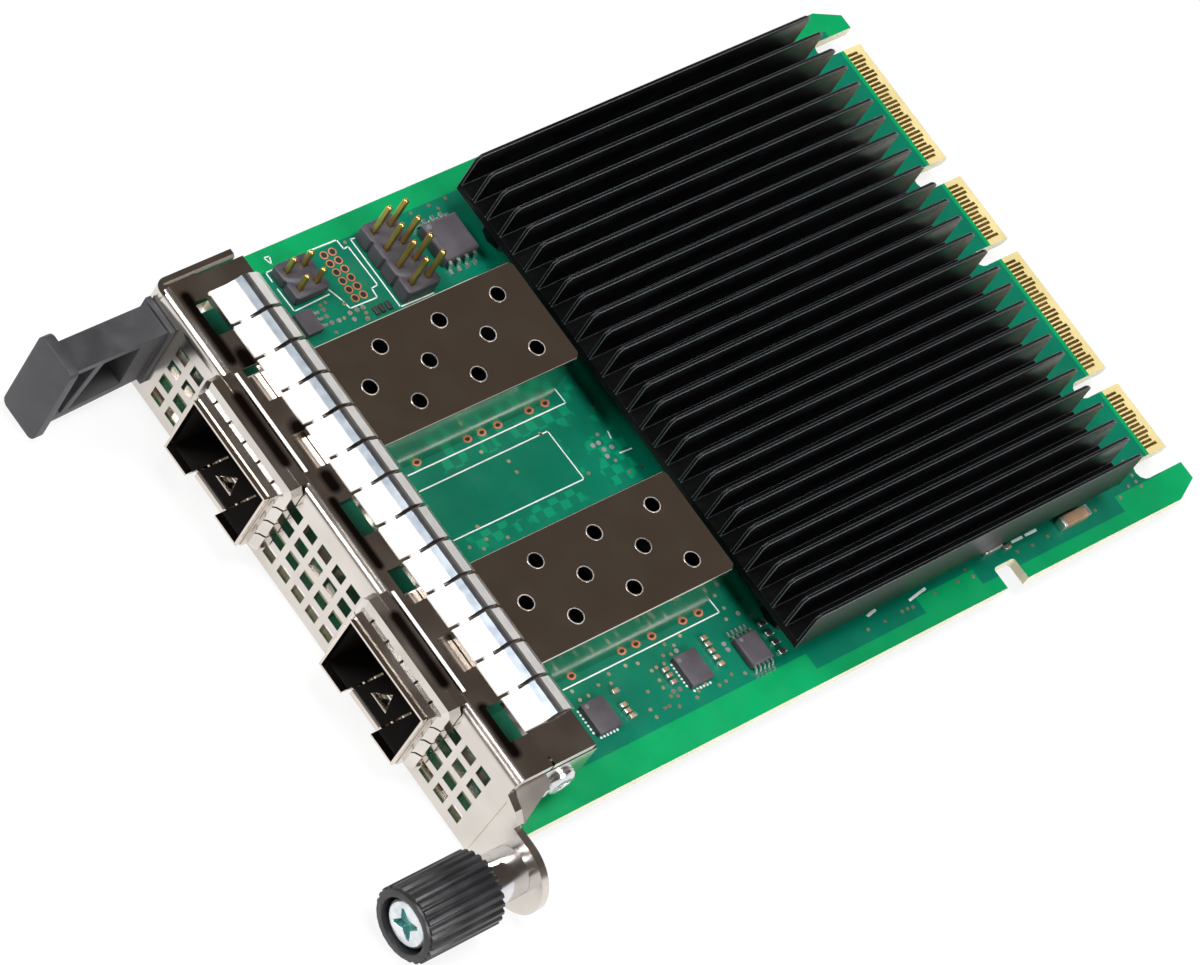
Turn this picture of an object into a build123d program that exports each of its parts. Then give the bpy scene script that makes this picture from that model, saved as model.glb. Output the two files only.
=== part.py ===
from build123d import *
import math
import os

os.makedirs("parts", exist_ok=True)

# Mezzanine network card with two port cages, a finned heat sink and a captive thumbscrew.
# Millimetres. X runs across the card, Y from the faceplate to the card edge, Z up.
# Origin: middle of the card edge, at the inner end of its contacts, on the board's top face.

# Circuit board
BOARD_WIDTH = 76.0
BOARD_THICK = 1.57
BOARD_FRONT_GAP = 1.0
BOARD_GAP = 0.3
EDGE_TIP = 2.9
EDGE_BEVEL_RUN = 0.5
EDGE_BEVEL_DROP = 0.45
SLOT_BOTTOM = -3.9
EAR_INNER_LEFT = -34.3
EAR_INNER_RIGHT = 33.85
EAR_CORNER_WIDTH = 1.7
EAR_CORNER_LENGTH = 3.6
NOTCH_DEPTH = 2.95
NOTCH_WIDTH = 3.5
NOTCH_Y = -29.05
NOTCH_CORNER = 0.5
FRONT_CORNER_WIDTH = 4.3
FRONT_CORNER_LENGTH = 10.4

# Sides of the small round holes, rods and posts that repeat, which are drawn as polygons
HOLE_SIDES = 6
ROD_SIDES = 8
POST_SIDES = 12
HEAD_SIDES = 16

# Contact tongues of the card edge: place of the first contact, number of contacts
TONGUES = ((-30.96, 28), (-9.95, 14), (1.88, 28), (22.46, 14))
TONGUE_MARGIN = 0.95
PAD_PITCH = 0.6
PAD_WIDTH = 0.36
PAD_THICK = 0.05
PAD_INNER = -0.38
PAD_LONG = 1.66
PAD_SHORT = 1.28

# Heat sink
SINK_X = 0.17
SINK_TO_CAGES = 4.1
SINK_REAR = -10.95
SINK_BASE_BOTTOM = 4.4
SINK_BASE_THICK = 1.15
SINK_TOP = 11.2
FIN_COUNT = 27
FIN_PITCH = 2.592
FIN_THICK = 0.45
FIN_FRONT_CHAMFER = 0.6
FIN_REAR_CHAMFER = 0.9
SINK_POST_RADIUS = 3.0
SINK_SCREW_X = 28.0
SINK_SCREW_INSET = 5.5
SINK_SCREW_RADIUS = 1.25
SINK_SCREW_DEPTH = 3.2

# Controller under the heat sink
CHIP_Y = -38.0
CHIP_SIZE = 27.0
CHIP_BASE_HEIGHT = 1.2
CHIP_LID_SIZE = 22.0
CHIP_LID_HEIGHT = 2.0

# Port cages
PORT_CENTRES = {"left": -13.8, "right": 16.87}
CAGE_WIDTH = 14.2
CAGE_HEIGHT = 9.75
CAGE_WALL = 0.3
CAGE_REACH = 4.3
CAGE_LENGTH = 47.7
CAGE_REAR_CORNER = 0.6
CAGE_FOLD_RADIUS = 0.3
CAGE_HOLE_RADIUS = 1.0
CAGE_HOLE_PITCH = 9.0
CAGE_HOLE_SIDE = 3.92
CAGE_HOLE_SETBACK = 4.4
CAGE_PIN_WIDTH = 0.5
CAGE_PIN_BELOW = 0.7
CAGE_PIN_HOLE_RADIUS = 0.42
CAGE_PIN_SETBACKS = (0.6, 3.1, 8.0, 10.5, 12.7, 20.5)
LATCH_HALF_WIDTH = 2.6
LATCH_SLIT = 0.3
LATCH_LENGTH = 6.2
LATCH_SETBACK = 1.4
LATCH_LIP = 0.7
LATCH_HOLE_LENGTH = 2.4
LATCH_HOLE_WIDTH = 3.1
LATCH_HOLE_START = 3.2

# Spring collar round each cage mouth: distance behind the mouth, stand-off from the cage
COLLAR_PROFILE = ((0.7, 0.03), (1.75, 0.1), (2.15, 0.35), (2.6, 1.1), (4.15, 1.2))
COLLAR_CORNER = 0.5
COLLAR_THICK = 0.15
COLLAR_SLIT = 0.3
COLLAR_NOTCH = 0.45
COLLAR_NOTCHES = 5
COLLAR_SIDE_SLITS = 3
COLLAR_FINGER_PITCH = 2.8
COLLAR_LEAF_LENGTH = 1.2
COLLAR_LEAF_MARGIN = 0.7

# Connector inside each cage
CONNECTOR_WIDTH = 9.4
CONNECTOR_HEIGHT = 5.6
CONNECTOR_LENGTH = 11.6
CONNECTOR_SETBACK = 1.9
CONNECTOR_SLOT_WIDTH = 8.2
CONNECTOR_SLOT_HEIGHT = 1.5
CONNECTOR_SLOT_MIDDLE = 3.3
CONNECTOR_SLOT_DEPTH = 6.5
CONNECTOR_CONTACTS = 10
CONNECTOR_CONTACT_PITCH = 0.8
CONNECTOR_CONTACT_WIDTH = 0.35
CONNECTOR_CONTACT_THICK = 0.2

# Faceplate bracket, a folded sheet
FACE_Y = -112.9
SHEET = 1.0
BEND_RADIUS = 1.0
FACE_LEFT = -33.9
FACE_RIGHT = 35.3
FACE_BOTTOM = -4.0
FLANGE_TOP = 10.9
FLANGE_DEPTH = 12.0
MOUTH_WIDTH = 15.3
MOUTH_SHIFT = -0.4
MOUTH_BOTTOM = -0.4
MOUTH_NOTCH_DEPTH = 1.4
MOUTH_CORNER = 1.6
VENT_WIDTH = 1.9
VENT_HEIGHT = 1.75
VENT_PITCH = 2.8
VENT_ROWS = 4
VENT_MIDDLE_Z = 2.7
VENT_GROUPS = ((-25.75, 2), (0.9, 5), (28.87, 3))
WINDOW_COUNT = 7
WINDOW_PITCH = 9.5
WINDOW_FIRST = -31.0
WINDOW_WIDTH = 4.75
WINDOW_LENGTH = 2.6
WINDOW_SETBACK = 4.0
RELIEF_SETBACK = 5.6
RELIEF_WIDTH = 0.35
RELIEF_DEPTH = 1.1
LEFT_WALL_GAP = 0.45
LEFT_WALL_TOP = 10.6
LEFT_WALL_EDGE = 0.3
LEFT_WALL_DEPTH = 11.4
RIGHT_WALL_BOTTOM = 0.9
RIGHT_WALL_DEPTH = 13.0
RIGHT_WALL_CORNER = 2.0
RIGHT_WALL_WINDOW_SETBACK = 5.9
RIGHT_WALL_WINDOW_Z = 3.6
RIGHT_WALL_WINDOW_SIZE = (3.2, 4.6)
RIGHT_WALL_WINDOW_CORNER = 1.2
EAR_RADIUS = 5.2
EAR_CENTRE_Z = 0.6

# Shoulder of the ear and section of the slanted return behind it: right of the face's edge, Z
EAR_SHOULDER = ((2.9, 5.8), (3.1, 6.6), (1.9, 7.8), (0.0, 8.6))
RETURN_SECTION = ((-0.5, 8.6), (0.1, 8.9), (3.2, 6.3), (2.6, 5.6), (-0.5, 7.6))
RETURN_LENGTH = 4.6
RETURN_CUT_WIDTH = 1.8
RETURN_CUT_REST = 0.6
FOOT_INNER = 23.5
FOOT_WIDTH = 7.0
FOOT_LENGTH = 7.4
FOOT_SCREW_SETBACK = 4.4
FOOT_SCREW_RADIUS = 1.25

# Side screw in the right wall
SIDE_SCREW_SETBACK = 9.3
SIDE_SCREW_Z = 5.1
SIDE_SCREW_RADIUS = 1.0
SIDE_SCREW_HEAD_RADIUS = 2.1
SIDE_SCREW_HEAD_HEIGHT = 0.9
SIDE_CROSS_SPAN = 2.0
SIDE_CROSS_WIDTH = 0.5
SIDE_NUT_SIZE = 4.0
SIDE_NUT_HEIGHT = 1.6

# Sprung gasket strip on the flange, from front to rear: distance behind the face, height above the flange
GASKET_SECTION = (
    (5.1, 0.1), (7.7, 0.15), (8.7, 0.45), (9.6, 0.85), (10.55, 0.75), (12.05, 0.12), (13.0, -0.75),
)
GASKET_LEFT = -31.4
GASKET_RIGHT = 30.4
GASKET_FINGERS = 13
GASKET_THICK = 0.2
GASKET_SLIT = 0.5
GASKET_BRIDGE = (6.5, 7.7)

# Pull tab
TAB_LEFT = -34.2
TAB_RIGHT = -30.0
TAB_TOP = 8.3
TAB_BOTTOM = -1.35
TAB_BOTTOM_FRONT = -2.95
TAB_WALL = 1.1
TAB_LENGTH = 14.7
TAB_BASE_THICK = 0.8
TAB_BASE_MARGIN = 0.5
TAB_PLATE_THICK = 1.4
TAB_PLATE_LEFT = -35.0
TAB_PLATE_RIGHT = -29.0
TAB_PLATE_BOTTOM = -3.6
TAB_PLATE_TOP = 10.2
TAB_PLATE_CORNER = 1.0
TAB_BOSS_LENGTH = 3.2
TAB_RIB_SETBACK = 3.4
TAB_SCREW_RADIUS = 0.9
TAB_SCREW_HEAD_RADIUS = 1.7
TAB_SCREW_HEAD_HEIGHT = 1.0
TAB_SCREW_LENGTH = 3.4
TAB_SCREW_PLACES = (1.0, 6.0)

# Captive thumbscrew
SCREW_X = 40.95
SCREW_Z = 0.85
BARREL_RADIUS = 3.0
BARREL_NECK_RADIUS = 2.6
BARREL_BORE = 2.4
BARREL_FLOOR = 1.6
BARREL_OVERLAP = 3.1
KNOB_STAND_OFF = 5.1
KNOB_LENGTH = 10.9
KNOB_RADIUS = 4.6
KNOB_RIDGE = 0.35
KNOB_RIDGES = 26
KNOB_SIDES = 24
KNOB_RECESS_RADIUS = 3.4
KNOB_RECESS_DEPTH = 2.2
KNOB_WEB = 1.1
HEAD_RADIUS = 2.95
HEAD_HEIGHT = 1.8
HEAD_EDGE = 0.3
CROSS_RADIUS = 1.95
CROSS_WAIST = 0.62
CROSS_TIP_HALF_WIDTH = 0.2
CROSS_TURN = 45
CROSS_DEPTH = 1.1
SHANK_RADIUS = 1.5
SHANK_TIP_PROUD = 0.3
SPRING_RADIUS = 2.0
SPRING_WIRE = 0.4
SPRING_TURNS = 4
SPRING_STEPS = 12
RUNNING_GAP = 0.06
FIXED_GAP = 0.03

# Pin headers: middle in X and Y, columns, rows, height of the block, height of the tips
PIN_PITCH = 2.54
PIN_SIZE = 0.64
PIN_BELOW = 2.9
PIN_POINT = 0.18
PIN_HOLE_RADIUS = 0.5
BLOCK_NOTCH = 0.45
FOUR_PIN_PLACE = (-32.45, -88.72)
FOUR_PIN_GRID = (2, 2)
FOUR_PIN_BLOCK = 1.5
FOUR_PIN_TIP = 4.1
EIGHT_PIN_PLACE = (-29.85, -75.85)
EIGHT_PIN_GRID = (4, 2)
EIGHT_PIN_BLOCK = 2.3
EIGHT_PIN_TIP = 7.4

# Unused plated holes
BARE_HOLES_PLACE = (-31.09, -82.72)
BARE_HOLES_GRID = (6, 2)
BARE_HOLE_PITCH = 1.27
BARE_HOLE_RADIUS = 0.33

# Leaded chips: middle in X and Y, length along X, width along Y, height, leads on each side, lead pitch
MEMORY_CHIP = (-29.6, -68.0, 5.2, 5.2, 1.8, 4, 1.27)
REGULATOR_CHIP = (30.8, -67.25, 3.9, 3.3, 0.95, 5, 0.65)
LEAD_THICK = 0.15
LEAD_REACH = 1.3
CHIP_STAND_OFF = 0.1

# Small chip near the flange, with leads on one side
SMALL_CHIP_PLACE = (-27.2, -91.3)
SMALL_CHIP_SIZE = (3.0, 2.4, 0.9)
SMALL_CHIP_LEADS = 3
SMALL_CHIP_LEAD_PITCH = 0.9

# Square chips without leads: middle in X and Y
SQUARE_CHIP_SIZE = (4.1, 3.4, 0.85)
SQUARE_CHIP_PLACES = ((29.75, -90.35), (29.6, -75.8))

# Chip capacitors and resistors: middle in X and Y, length along X, width along Y
CAPACITOR_HEIGHT = 0.55
CAPACITOR_PLACES = (
    (27.0, -71.9, 0.55, 1.0), (27.85, -71.9, 0.55, 1.0), (28.75, -72.0, 0.55, 1.0), (29.65, -72.0, 0.55, 1.0),
    (30.6, -72.0, 0.55, 1.0), (28.3, -79.0, 0.5, 1.0), (29.1, -79.0, 0.5, 1.0), (30.0, -79.0, 0.5, 1.0),
    (27.9, -86.5, 0.55, 1.0), (29.8, -86.7, 0.55, 1.0), (30.6, -86.7, 0.55, 1.0), (31.35, -86.5, 0.55, 1.0),
    (33.6, -27.4, 0.55, 1.0),
)
RESISTOR_HEIGHT = 0.4
RESISTOR_PLACES = (
    (28.5, -63.7, 0.6, 1.1), (29.9, -63.7, 0.6, 1.1), (31.2, -63.7, 0.6, 1.1), (32.5, -63.7, 0.6, 1.1),
    (-25.4, -82.1, 1.1, 0.55), (-25.4, -81.2, 1.1, 0.55), (-25.4, -80.2, 1.1, 0.55),
)
LARGE_CAPACITOR = (34.2, -16.8, 1.4, 4.6, 1.4)
TAN_CAPACITOR = (32.4, -29.6, 1.9, 2.9, 0.9)


# Helpers for solids made from outlines in the three planes
def block(x0, x1, y0, y1, z0, z1):
    return Pos((x0 + x1) / 2, (y0 + y1) / 2, (z0 + z1) / 2) * Box(x1 - x0, y1 - y0, z1 - z0)


def rect(x0, x1, y0, y1):
    return Pos((x0 + x1) / 2, (y0 + y1) / 2) * Rectangle(x1 - x0, y1 - y0)


def outline(*points):
    return make_face(Polyline(*points, close=True))


def prism_x(sketch, x0, x1):
    return extrude(Plane.YZ.offset(x0) * sketch, amount=x1 - x0)


def prism_y(sketch, y0, y1):
    return extrude(Plane.XZ.offset(-y1) * sketch, amount=y1 - y0)


def prism_z(sketch, z0, z1):
    return extrude(Plane.XY.offset(z0) * sketch, amount=z1 - z0)


# A rod's polygon has its corners on the radius, and a hole's polygon has its flats there
def rod(radius, sides=ROD_SIDES):
    return RegularPolygon(radius, sides)


def hole(radius, sides=ROD_SIDES):
    return RegularPolygon(radius, sides, major_radius=False)


def grid_places(middle, pitch, columns, rows):
    for column in range(columns):
        for row in range(rows):
            yield (
                middle[0] + (column - (columns - 1) / 2) * pitch,
                middle[1] + (row - (rows - 1) / 2) * pitch,
            )


def group(solids):
    return Compound(children=[solid for item in solids for solid in item.solids()])


def fused(solids):
    first, *others = solids
    return first.fuse(*others) if others else first


# Places that several pieces share
FACE_BACK = FACE_Y + SHEET
BOARD_FRONT = FACE_BACK + BOARD_FRONT_GAP
BOARD_BOTTOM = -BOARD_THICK
CAGE_MOUTH = FACE_Y - CAGE_REACH
CAGE_REAR = CAGE_MOUTH + CAGE_LENGTH
CONNECTOR_REAR = CAGE_REAR - CONNECTOR_SETBACK
CONNECTOR_FRONT = CONNECTOR_REAR - CONNECTOR_LENGTH
SINK_FRONT = CAGE_REAR + SINK_TO_CAGES
SINK_BASE_TOP = SINK_BASE_BOTTOM + SINK_BASE_THICK
SINK_HALF_WIDTH = ((FIN_COUNT - 1) * FIN_PITCH + FIN_THICK) / 2
FLANGE_BOTTOM = FLANGE_TOP - SHEET
FLANGE_REAR = FACE_Y + FLANGE_DEPTH
SIDE_SCREW_Y = FACE_Y + SIDE_SCREW_SETBACK
KNOB_REAR = FACE_Y - KNOB_STAND_OFF
KNOB_FRONT = KNOB_REAR - KNOB_LENGTH
KNOB_WEB_FRONT = KNOB_FRONT + KNOB_RECESS_DEPTH
KNOB_WEB_REAR = KNOB_WEB_FRONT + KNOB_WEB
BARREL_FRONT = KNOB_REAR - BARREL_OVERLAP
BARREL_FLOOR_FRONT = FACE_Y - BARREL_FLOOR
SHANK_TIP = FACE_BACK + SHANK_TIP_PROUD


def sink_screw_places():
    for y in (SINK_FRONT + SINK_SCREW_INSET, SINK_REAR - SINK_SCREW_INSET):
        for side in (-1, 1):
            yield SINK_X + side * SINK_SCREW_X, y


def foot_screw_places():
    for side in (-1, 1):
        yield side * (FOOT_INNER + FOOT_WIDTH / 2), FACE_BACK + FOOT_SCREW_SETBACK


def tongue_limits():
    for first, count in TONGUES:
        yield first - TONGUE_MARGIN, first + (count - 1) * PAD_PITCH + TONGUE_MARGIN


def slot_limits():
    limits = list(tongue_limits())
    starts = [EAR_INNER_LEFT] + [right for left, right in limits]
    ends = [left for left, right in limits] + [EAR_INNER_RIGHT]
    return zip(starts, ends)


def cage_pin_places(centre):
    for side in (-1, 1):
        for setback in CAGE_PIN_SETBACKS:
            yield centre + side * (CAGE_WIDTH - CAGE_WALL) / 2, CAGE_REAR - setback


# Circuit board with its card edge, ears, keying slots, side notch and drilled holes
def circuit_board():
    half = BOARD_WIDTH / 2
    plan = rect(-half, half, BOARD_FRONT, EDGE_TIP)
    for x0, x1 in slot_limits():
        radius = (x1 - x0) / 2
        plan -= rect(x0, x1, SLOT_BOTTOM + radius, EDGE_TIP + 1)
        plan -= Pos((x0 + x1) / 2, SLOT_BOTTOM + radius) * hole(radius, POST_SIDES)
    for side in (-1, 1):
        plan -= outline(
            (side * (half + 1), EDGE_TIP + 1),
            (side * (half - EAR_CORNER_WIDTH), EDGE_TIP + 1),
            (side * (half - EAR_CORNER_WIDTH), EDGE_TIP),
            (side * half, EDGE_TIP - EAR_CORNER_LENGTH),
            (side * (half + 1), EDGE_TIP - EAR_CORNER_LENGTH),
        )
    notch = RectangleRounded(2 * NOTCH_DEPTH, NOTCH_WIDTH, NOTCH_CORNER)
    plan -= Pos(half, NOTCH_Y) * notch
    corner_right, corner_rear = FRONT_CORNER_WIDTH - half, BOARD_FRONT + FRONT_CORNER_LENGTH
    plan -= rect(-half - 1, corner_right, BOARD_FRONT - 1, corner_rear)
    holes = [(x, y, PIN_HOLE_RADIUS) for x, y in grid_places(FOUR_PIN_PLACE, PIN_PITCH, *FOUR_PIN_GRID)]
    holes += [(x, y, PIN_HOLE_RADIUS) for x, y in grid_places(EIGHT_PIN_PLACE, PIN_PITCH, *EIGHT_PIN_GRID)]
    holes += [
        (x, y, BARE_HOLE_RADIUS) for x, y in grid_places(BARE_HOLES_PLACE, BARE_HOLE_PITCH, *BARE_HOLES_GRID)
    ]
    for centre in PORT_CENTRES.values():
        holes += [(x, y, CAGE_PIN_HOLE_RADIUS) for x, y in cage_pin_places(centre)]
    holes += [(x, y, SINK_SCREW_RADIUS + RUNNING_GAP) for x, y in sink_screw_places()]
    holes += [(x, y, FOOT_SCREW_RADIUS + RUNNING_GAP) for x, y in foot_screw_places()]
    for x, y, radius in holes:
        plan -= Pos(x, y) * hole(radius, HOLE_SIDES)
    board = prism_z(plan, BOARD_BOTTOM, 0)
    limits = list(tongue_limits())
    for top in (0, BOARD_BOTTOM):
        inward = -1 if top == 0 else 1
        bevel = outline(
            (EDGE_TIP - EDGE_BEVEL_RUN, top),
            (EDGE_TIP, top + inward * EDGE_BEVEL_DROP),
            (EDGE_TIP + 1, top + inward * EDGE_BEVEL_DROP),
            (EDGE_TIP + 1, top - inward),
            (EDGE_TIP - EDGE_BEVEL_RUN, top - inward),
        )
        board -= prism_x(bevel, limits[0][0], limits[-1][1])
    return board


# Gold contacts on one side of the card edge, long and short in turn
def edge_contacts(z0):
    pads = []
    for first, count in TONGUES:
        for index in range(count):
            x = first + index * PAD_PITCH
            outer = PAD_LONG if index % 4 in (1, 2) else PAD_SHORT
            pads.append(block(x - PAD_WIDTH / 2, x + PAD_WIDTH / 2, PAD_INNER, outer, z0, z0 + PAD_THICK))
    return group(pads)


# Heat sink: a comb of fins on a base plate, with posts that stand on the board
def heat_sink():
    left, right = SINK_X - SINK_HALF_WIDTH, SINK_X + SINK_HALF_WIDTH
    comb = rect(left, right, SINK_BASE_BOTTOM, SINK_BASE_TOP)
    for index in range(FIN_COUNT):
        x = left + index * FIN_PITCH
        comb += rect(x, x + FIN_THICK, SINK_BASE_BOTTOM, SINK_TOP)
    sink = prism_y(comb, SINK_FRONT, SINK_REAR)
    sink -= prism_x(
        outline(
            (SINK_FRONT, SINK_TOP - FIN_FRONT_CHAMFER),
            (SINK_FRONT + FIN_FRONT_CHAMFER, SINK_TOP),
            (SINK_FRONT, SINK_TOP),
        ),
        left,
        right,
    )
    sink -= prism_x(
        outline(
            (SINK_REAR, SINK_TOP - FIN_FRONT_CHAMFER),
            (SINK_REAR - FIN_REAR_CHAMFER, SINK_TOP),
            (SINK_REAR, SINK_TOP),
        ),
        left,
        right,
    )
    for x, y in sink_screw_places():
        sink += prism_z(Pos(x, y) * rod(SINK_POST_RADIUS, POST_SIDES), 0, SINK_BASE_BOTTOM)
        bore = Pos(x, y) * hole(SINK_SCREW_RADIUS + FIXED_GAP)
        sink -= prism_z(bore, 0, SINK_SCREW_DEPTH + RUNNING_GAP)
    return sink


def heat_sink_screws():
    head_height, head_radius = SINK_SCREW_RADIUS, 1.8 * SINK_SCREW_RADIUS
    screws = []
    for x, y in sink_screw_places():
        head = prism_z(Pos(x, y) * rod(head_radius), BOARD_BOTTOM - head_height, BOARD_BOTTOM)
        shank = prism_z(Pos(x, y) * rod(SINK_SCREW_RADIUS), BOARD_BOTTOM, SINK_SCREW_DEPTH)
        screws.append(head + shank)
    return group(screws)


# Controller package: a substrate with a raised lid
def controller_chip():
    base = Pos(SINK_X, CHIP_Y) * Rectangle(CHIP_SIZE, CHIP_SIZE)
    lid = Pos(SINK_X, CHIP_Y) * Rectangle(CHIP_LID_SIZE, CHIP_LID_SIZE)
    chip = prism_z(base, 0, CHIP_BASE_HEIGHT)
    return chip + prism_z(lid, CHIP_BASE_HEIGHT, CHIP_BASE_HEIGHT + CHIP_LID_HEIGHT)


def thermal_pad():
    pad = Pos(SINK_X, CHIP_Y) * Rectangle(CHIP_LID_SIZE, CHIP_LID_SIZE)
    return prism_z(pad, CHIP_BASE_HEIGHT + CHIP_LID_HEIGHT, SINK_BASE_BOTTOM)


# Port cage: a folded tube, open at the mouth, with a sprung latch tongue in its floor
def port_cage(centre):
    half, wall = CAGE_WIDTH / 2, CAGE_WALL
    plan = rect(centre - half, centre + half, CAGE_MOUTH, CAGE_REAR)
    corners = plan.vertices().sort_by(Axis.Y)[-2:]
    cage = prism_z(chamfer(corners, CAGE_REAR_CORNER), 0, CAGE_HEIGHT)
    top_folds = cage.faces().sort_by(Axis.Z)[-1].edges().filter_by(Axis.Y)
    cage = fillet(top_folds, CAGE_FOLD_RADIUS)
    room = rect(centre - half + wall, centre + half - wall, CAGE_MOUTH - 1, CAGE_REAR - wall)
    corners = room.vertices().sort_by(Axis.Y)[-2:]
    cage -= prism_z(chamfer(corners, CAGE_REAR_CORNER), wall, CAGE_HEIGHT - wall)
    floor_half, floor_end = CONNECTOR_WIDTH / 2 + 1, CAGE_REAR - 2 * wall
    cage -= block(centre - floor_half, centre + floor_half, CONNECTOR_FRONT - 1, floor_end, 0, wall)
    for side, count, start in ((-1, 3, 0), (0, 3, CAGE_HOLE_PITCH / 2), (1, 3, 0)):
        for index in range(count):
            y = CAGE_REAR - CAGE_HOLE_SETBACK - start - index * CAGE_HOLE_PITCH
            x = centre + side * CAGE_HOLE_SIDE
            cage -= prism_z(Pos(x, y) * hole(CAGE_HOLE_RADIUS, POST_SIDES), CAGE_HEIGHT - wall, CAGE_HEIGHT)
    for side in (-1, 1):
        inner = centre + side * LATCH_HALF_WIDTH
        outer = inner + side * LATCH_SLIT
        cage -= block(min(inner, outer), max(inner, outer), CAGE_MOUTH, CAGE_MOUTH + LATCH_LENGTH, 0, wall)
    lip_front = CAGE_MOUTH + LATCH_SETBACK
    tongue_left, tongue_right = centre - LATCH_HALF_WIDTH, centre + LATCH_HALF_WIDTH
    cage -= block(tongue_left, tongue_right, CAGE_MOUTH, lip_front + LATCH_LIP, 0, wall)
    hole_start = CAGE_MOUTH + LATCH_HOLE_START
    cage -= prism_z(
        outline(
            (centre - LATCH_HOLE_WIDTH / 2, hole_start),
            (centre + LATCH_HOLE_WIDTH / 2, hole_start),
            (centre, hole_start + LATCH_HOLE_LENGTH),
        ),
        0,
        wall,
    )
    curl = FilletPolyline(
        (lip_front + LATCH_LIP, wall / 2),
        (lip_front + wall / 2, wall / 2),
        (lip_front + wall / 2, wall / 2 - LATCH_LIP),
        radius=LATCH_LIP / 2,
    )
    lip = prism_x(trace(curl, line_width=wall), tongue_left, tongue_right)
    pins = []
    for x, y in cage_pin_places(centre):
        half_pin = CAGE_PIN_WIDTH / 2
        pins.append(
            block(x - wall / 2, x + wall / 2, y - half_pin, y + half_pin, BOARD_BOTTOM - CAGE_PIN_BELOW, wall)
        )
    return fused([cage, lip] + pins)


# Spring collar: a thin flared band round the cage mouth, notched on top and slit at the sides
def port_collar(centre):
    def band(extra):
        rings = []
        for back, stand_off in COLLAR_PROFILE:
            grow = stand_off + extra
            ring = Rectangle(CAGE_WIDTH + 2 * grow, CAGE_HEIGHT + 2 * grow)
            ring = chamfer(ring.vertices(), COLLAR_CORNER * grow)
            rings.append(Plane.XZ.offset(-(CAGE_MOUTH + back)) * Pos(centre, CAGE_HEIGHT / 2) * ring)
        return loft(rings, ruled=True)

    collar = band(COLLAR_THICK) - band(0)
    start = CAGE_MOUTH + COLLAR_PROFILE[1][0]
    rear, bulge = COLLAR_PROFILE[-1]
    end = CAGE_MOUTH + rear
    top = CAGE_HEIGHT + bulge + COLLAR_THICK
    half = CAGE_WIDTH / 2 + COLLAR_LEAF_MARGIN
    leaf_end = end + COLLAR_LEAF_LENGTH
    collar += block(centre - half, centre + half, end - COLLAR_THICK, leaf_end, top - COLLAR_THICK, top)
    for index in range(COLLAR_NOTCHES):
        x = centre + (index - (COLLAR_NOTCHES - 1) / 2) * COLLAR_FINGER_PITCH
        x0, x1 = x - COLLAR_SLIT / 2, x + COLLAR_SLIT / 2
        collar -= block(x0, x1, start, start + COLLAR_NOTCH, CAGE_HEIGHT, top)
    relief = LATCH_HALF_WIDTH + LATCH_SLIT
    relief_end = CAGE_MOUTH + LATCH_SETBACK + CAGE_WALL + LATCH_SLIT
    collar -= block(centre - relief, centre + relief, CAGE_MOUTH, relief_end, -bulge, 0)
    reach = CAGE_WIDTH / 2 + bulge + 1
    for index in range(COLLAR_SIDE_SLITS):
        z = CAGE_HEIGHT / 2 + (index - (COLLAR_SIDE_SLITS - 1) / 2) * COLLAR_FINGER_PITCH
        z0, z1 = z - COLLAR_SLIT / 2, z + COLLAR_SLIT / 2
        collar -= block(centre - reach, centre + reach, start, end, z0, z1)
    return collar


def port_connector(centre):
    half = CONNECTOR_WIDTH / 2
    body = block(centre - half, centre + half, CONNECTOR_FRONT, CONNECTOR_REAR, 0, CONNECTOR_HEIGHT)
    slot_half = CONNECTOR_SLOT_WIDTH / 2
    low = CONNECTOR_SLOT_MIDDLE - CONNECTOR_SLOT_HEIGHT / 2
    high = CONNECTOR_SLOT_MIDDLE + CONNECTOR_SLOT_HEIGHT / 2
    slot_end = CONNECTOR_FRONT + CONNECTOR_SLOT_DEPTH
    return body - block(centre - slot_half, centre + slot_half, CONNECTOR_FRONT, slot_end, low, high)


# Contacts of the connector: two rows in its slot, and their feet on the board behind it
def connector_contacts(centre):
    low = CONNECTOR_SLOT_MIDDLE - CONNECTOR_SLOT_HEIGHT / 2
    high = CONNECTOR_SLOT_MIDDLE + CONNECTOR_SLOT_HEIGHT / 2
    start, end = CONNECTOR_FRONT + 0.6, CONNECTOR_FRONT + CONNECTOR_SLOT_DEPTH
    contacts = []
    for index in range(CONNECTOR_CONTACTS):
        x = centre + (index - (CONNECTOR_CONTACTS - 1) / 2) * CONNECTOR_CONTACT_PITCH
        x0, x1 = x - CONNECTOR_CONTACT_WIDTH / 2, x + CONNECTOR_CONTACT_WIDTH / 2
        contacts.append(block(x0, x1, start, end, low, low + CONNECTOR_CONTACT_THICK))
        contacts.append(block(x0, x1, start, end, high - CONNECTOR_CONTACT_THICK, high))
        foot_end = CAGE_REAR - 2 * CAGE_WALL - 0.2
        contacts.append(block(x0, x1, CONNECTOR_REAR, foot_end, 0, CONNECTOR_CONTACT_THICK))
    return group(contacts)


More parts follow.
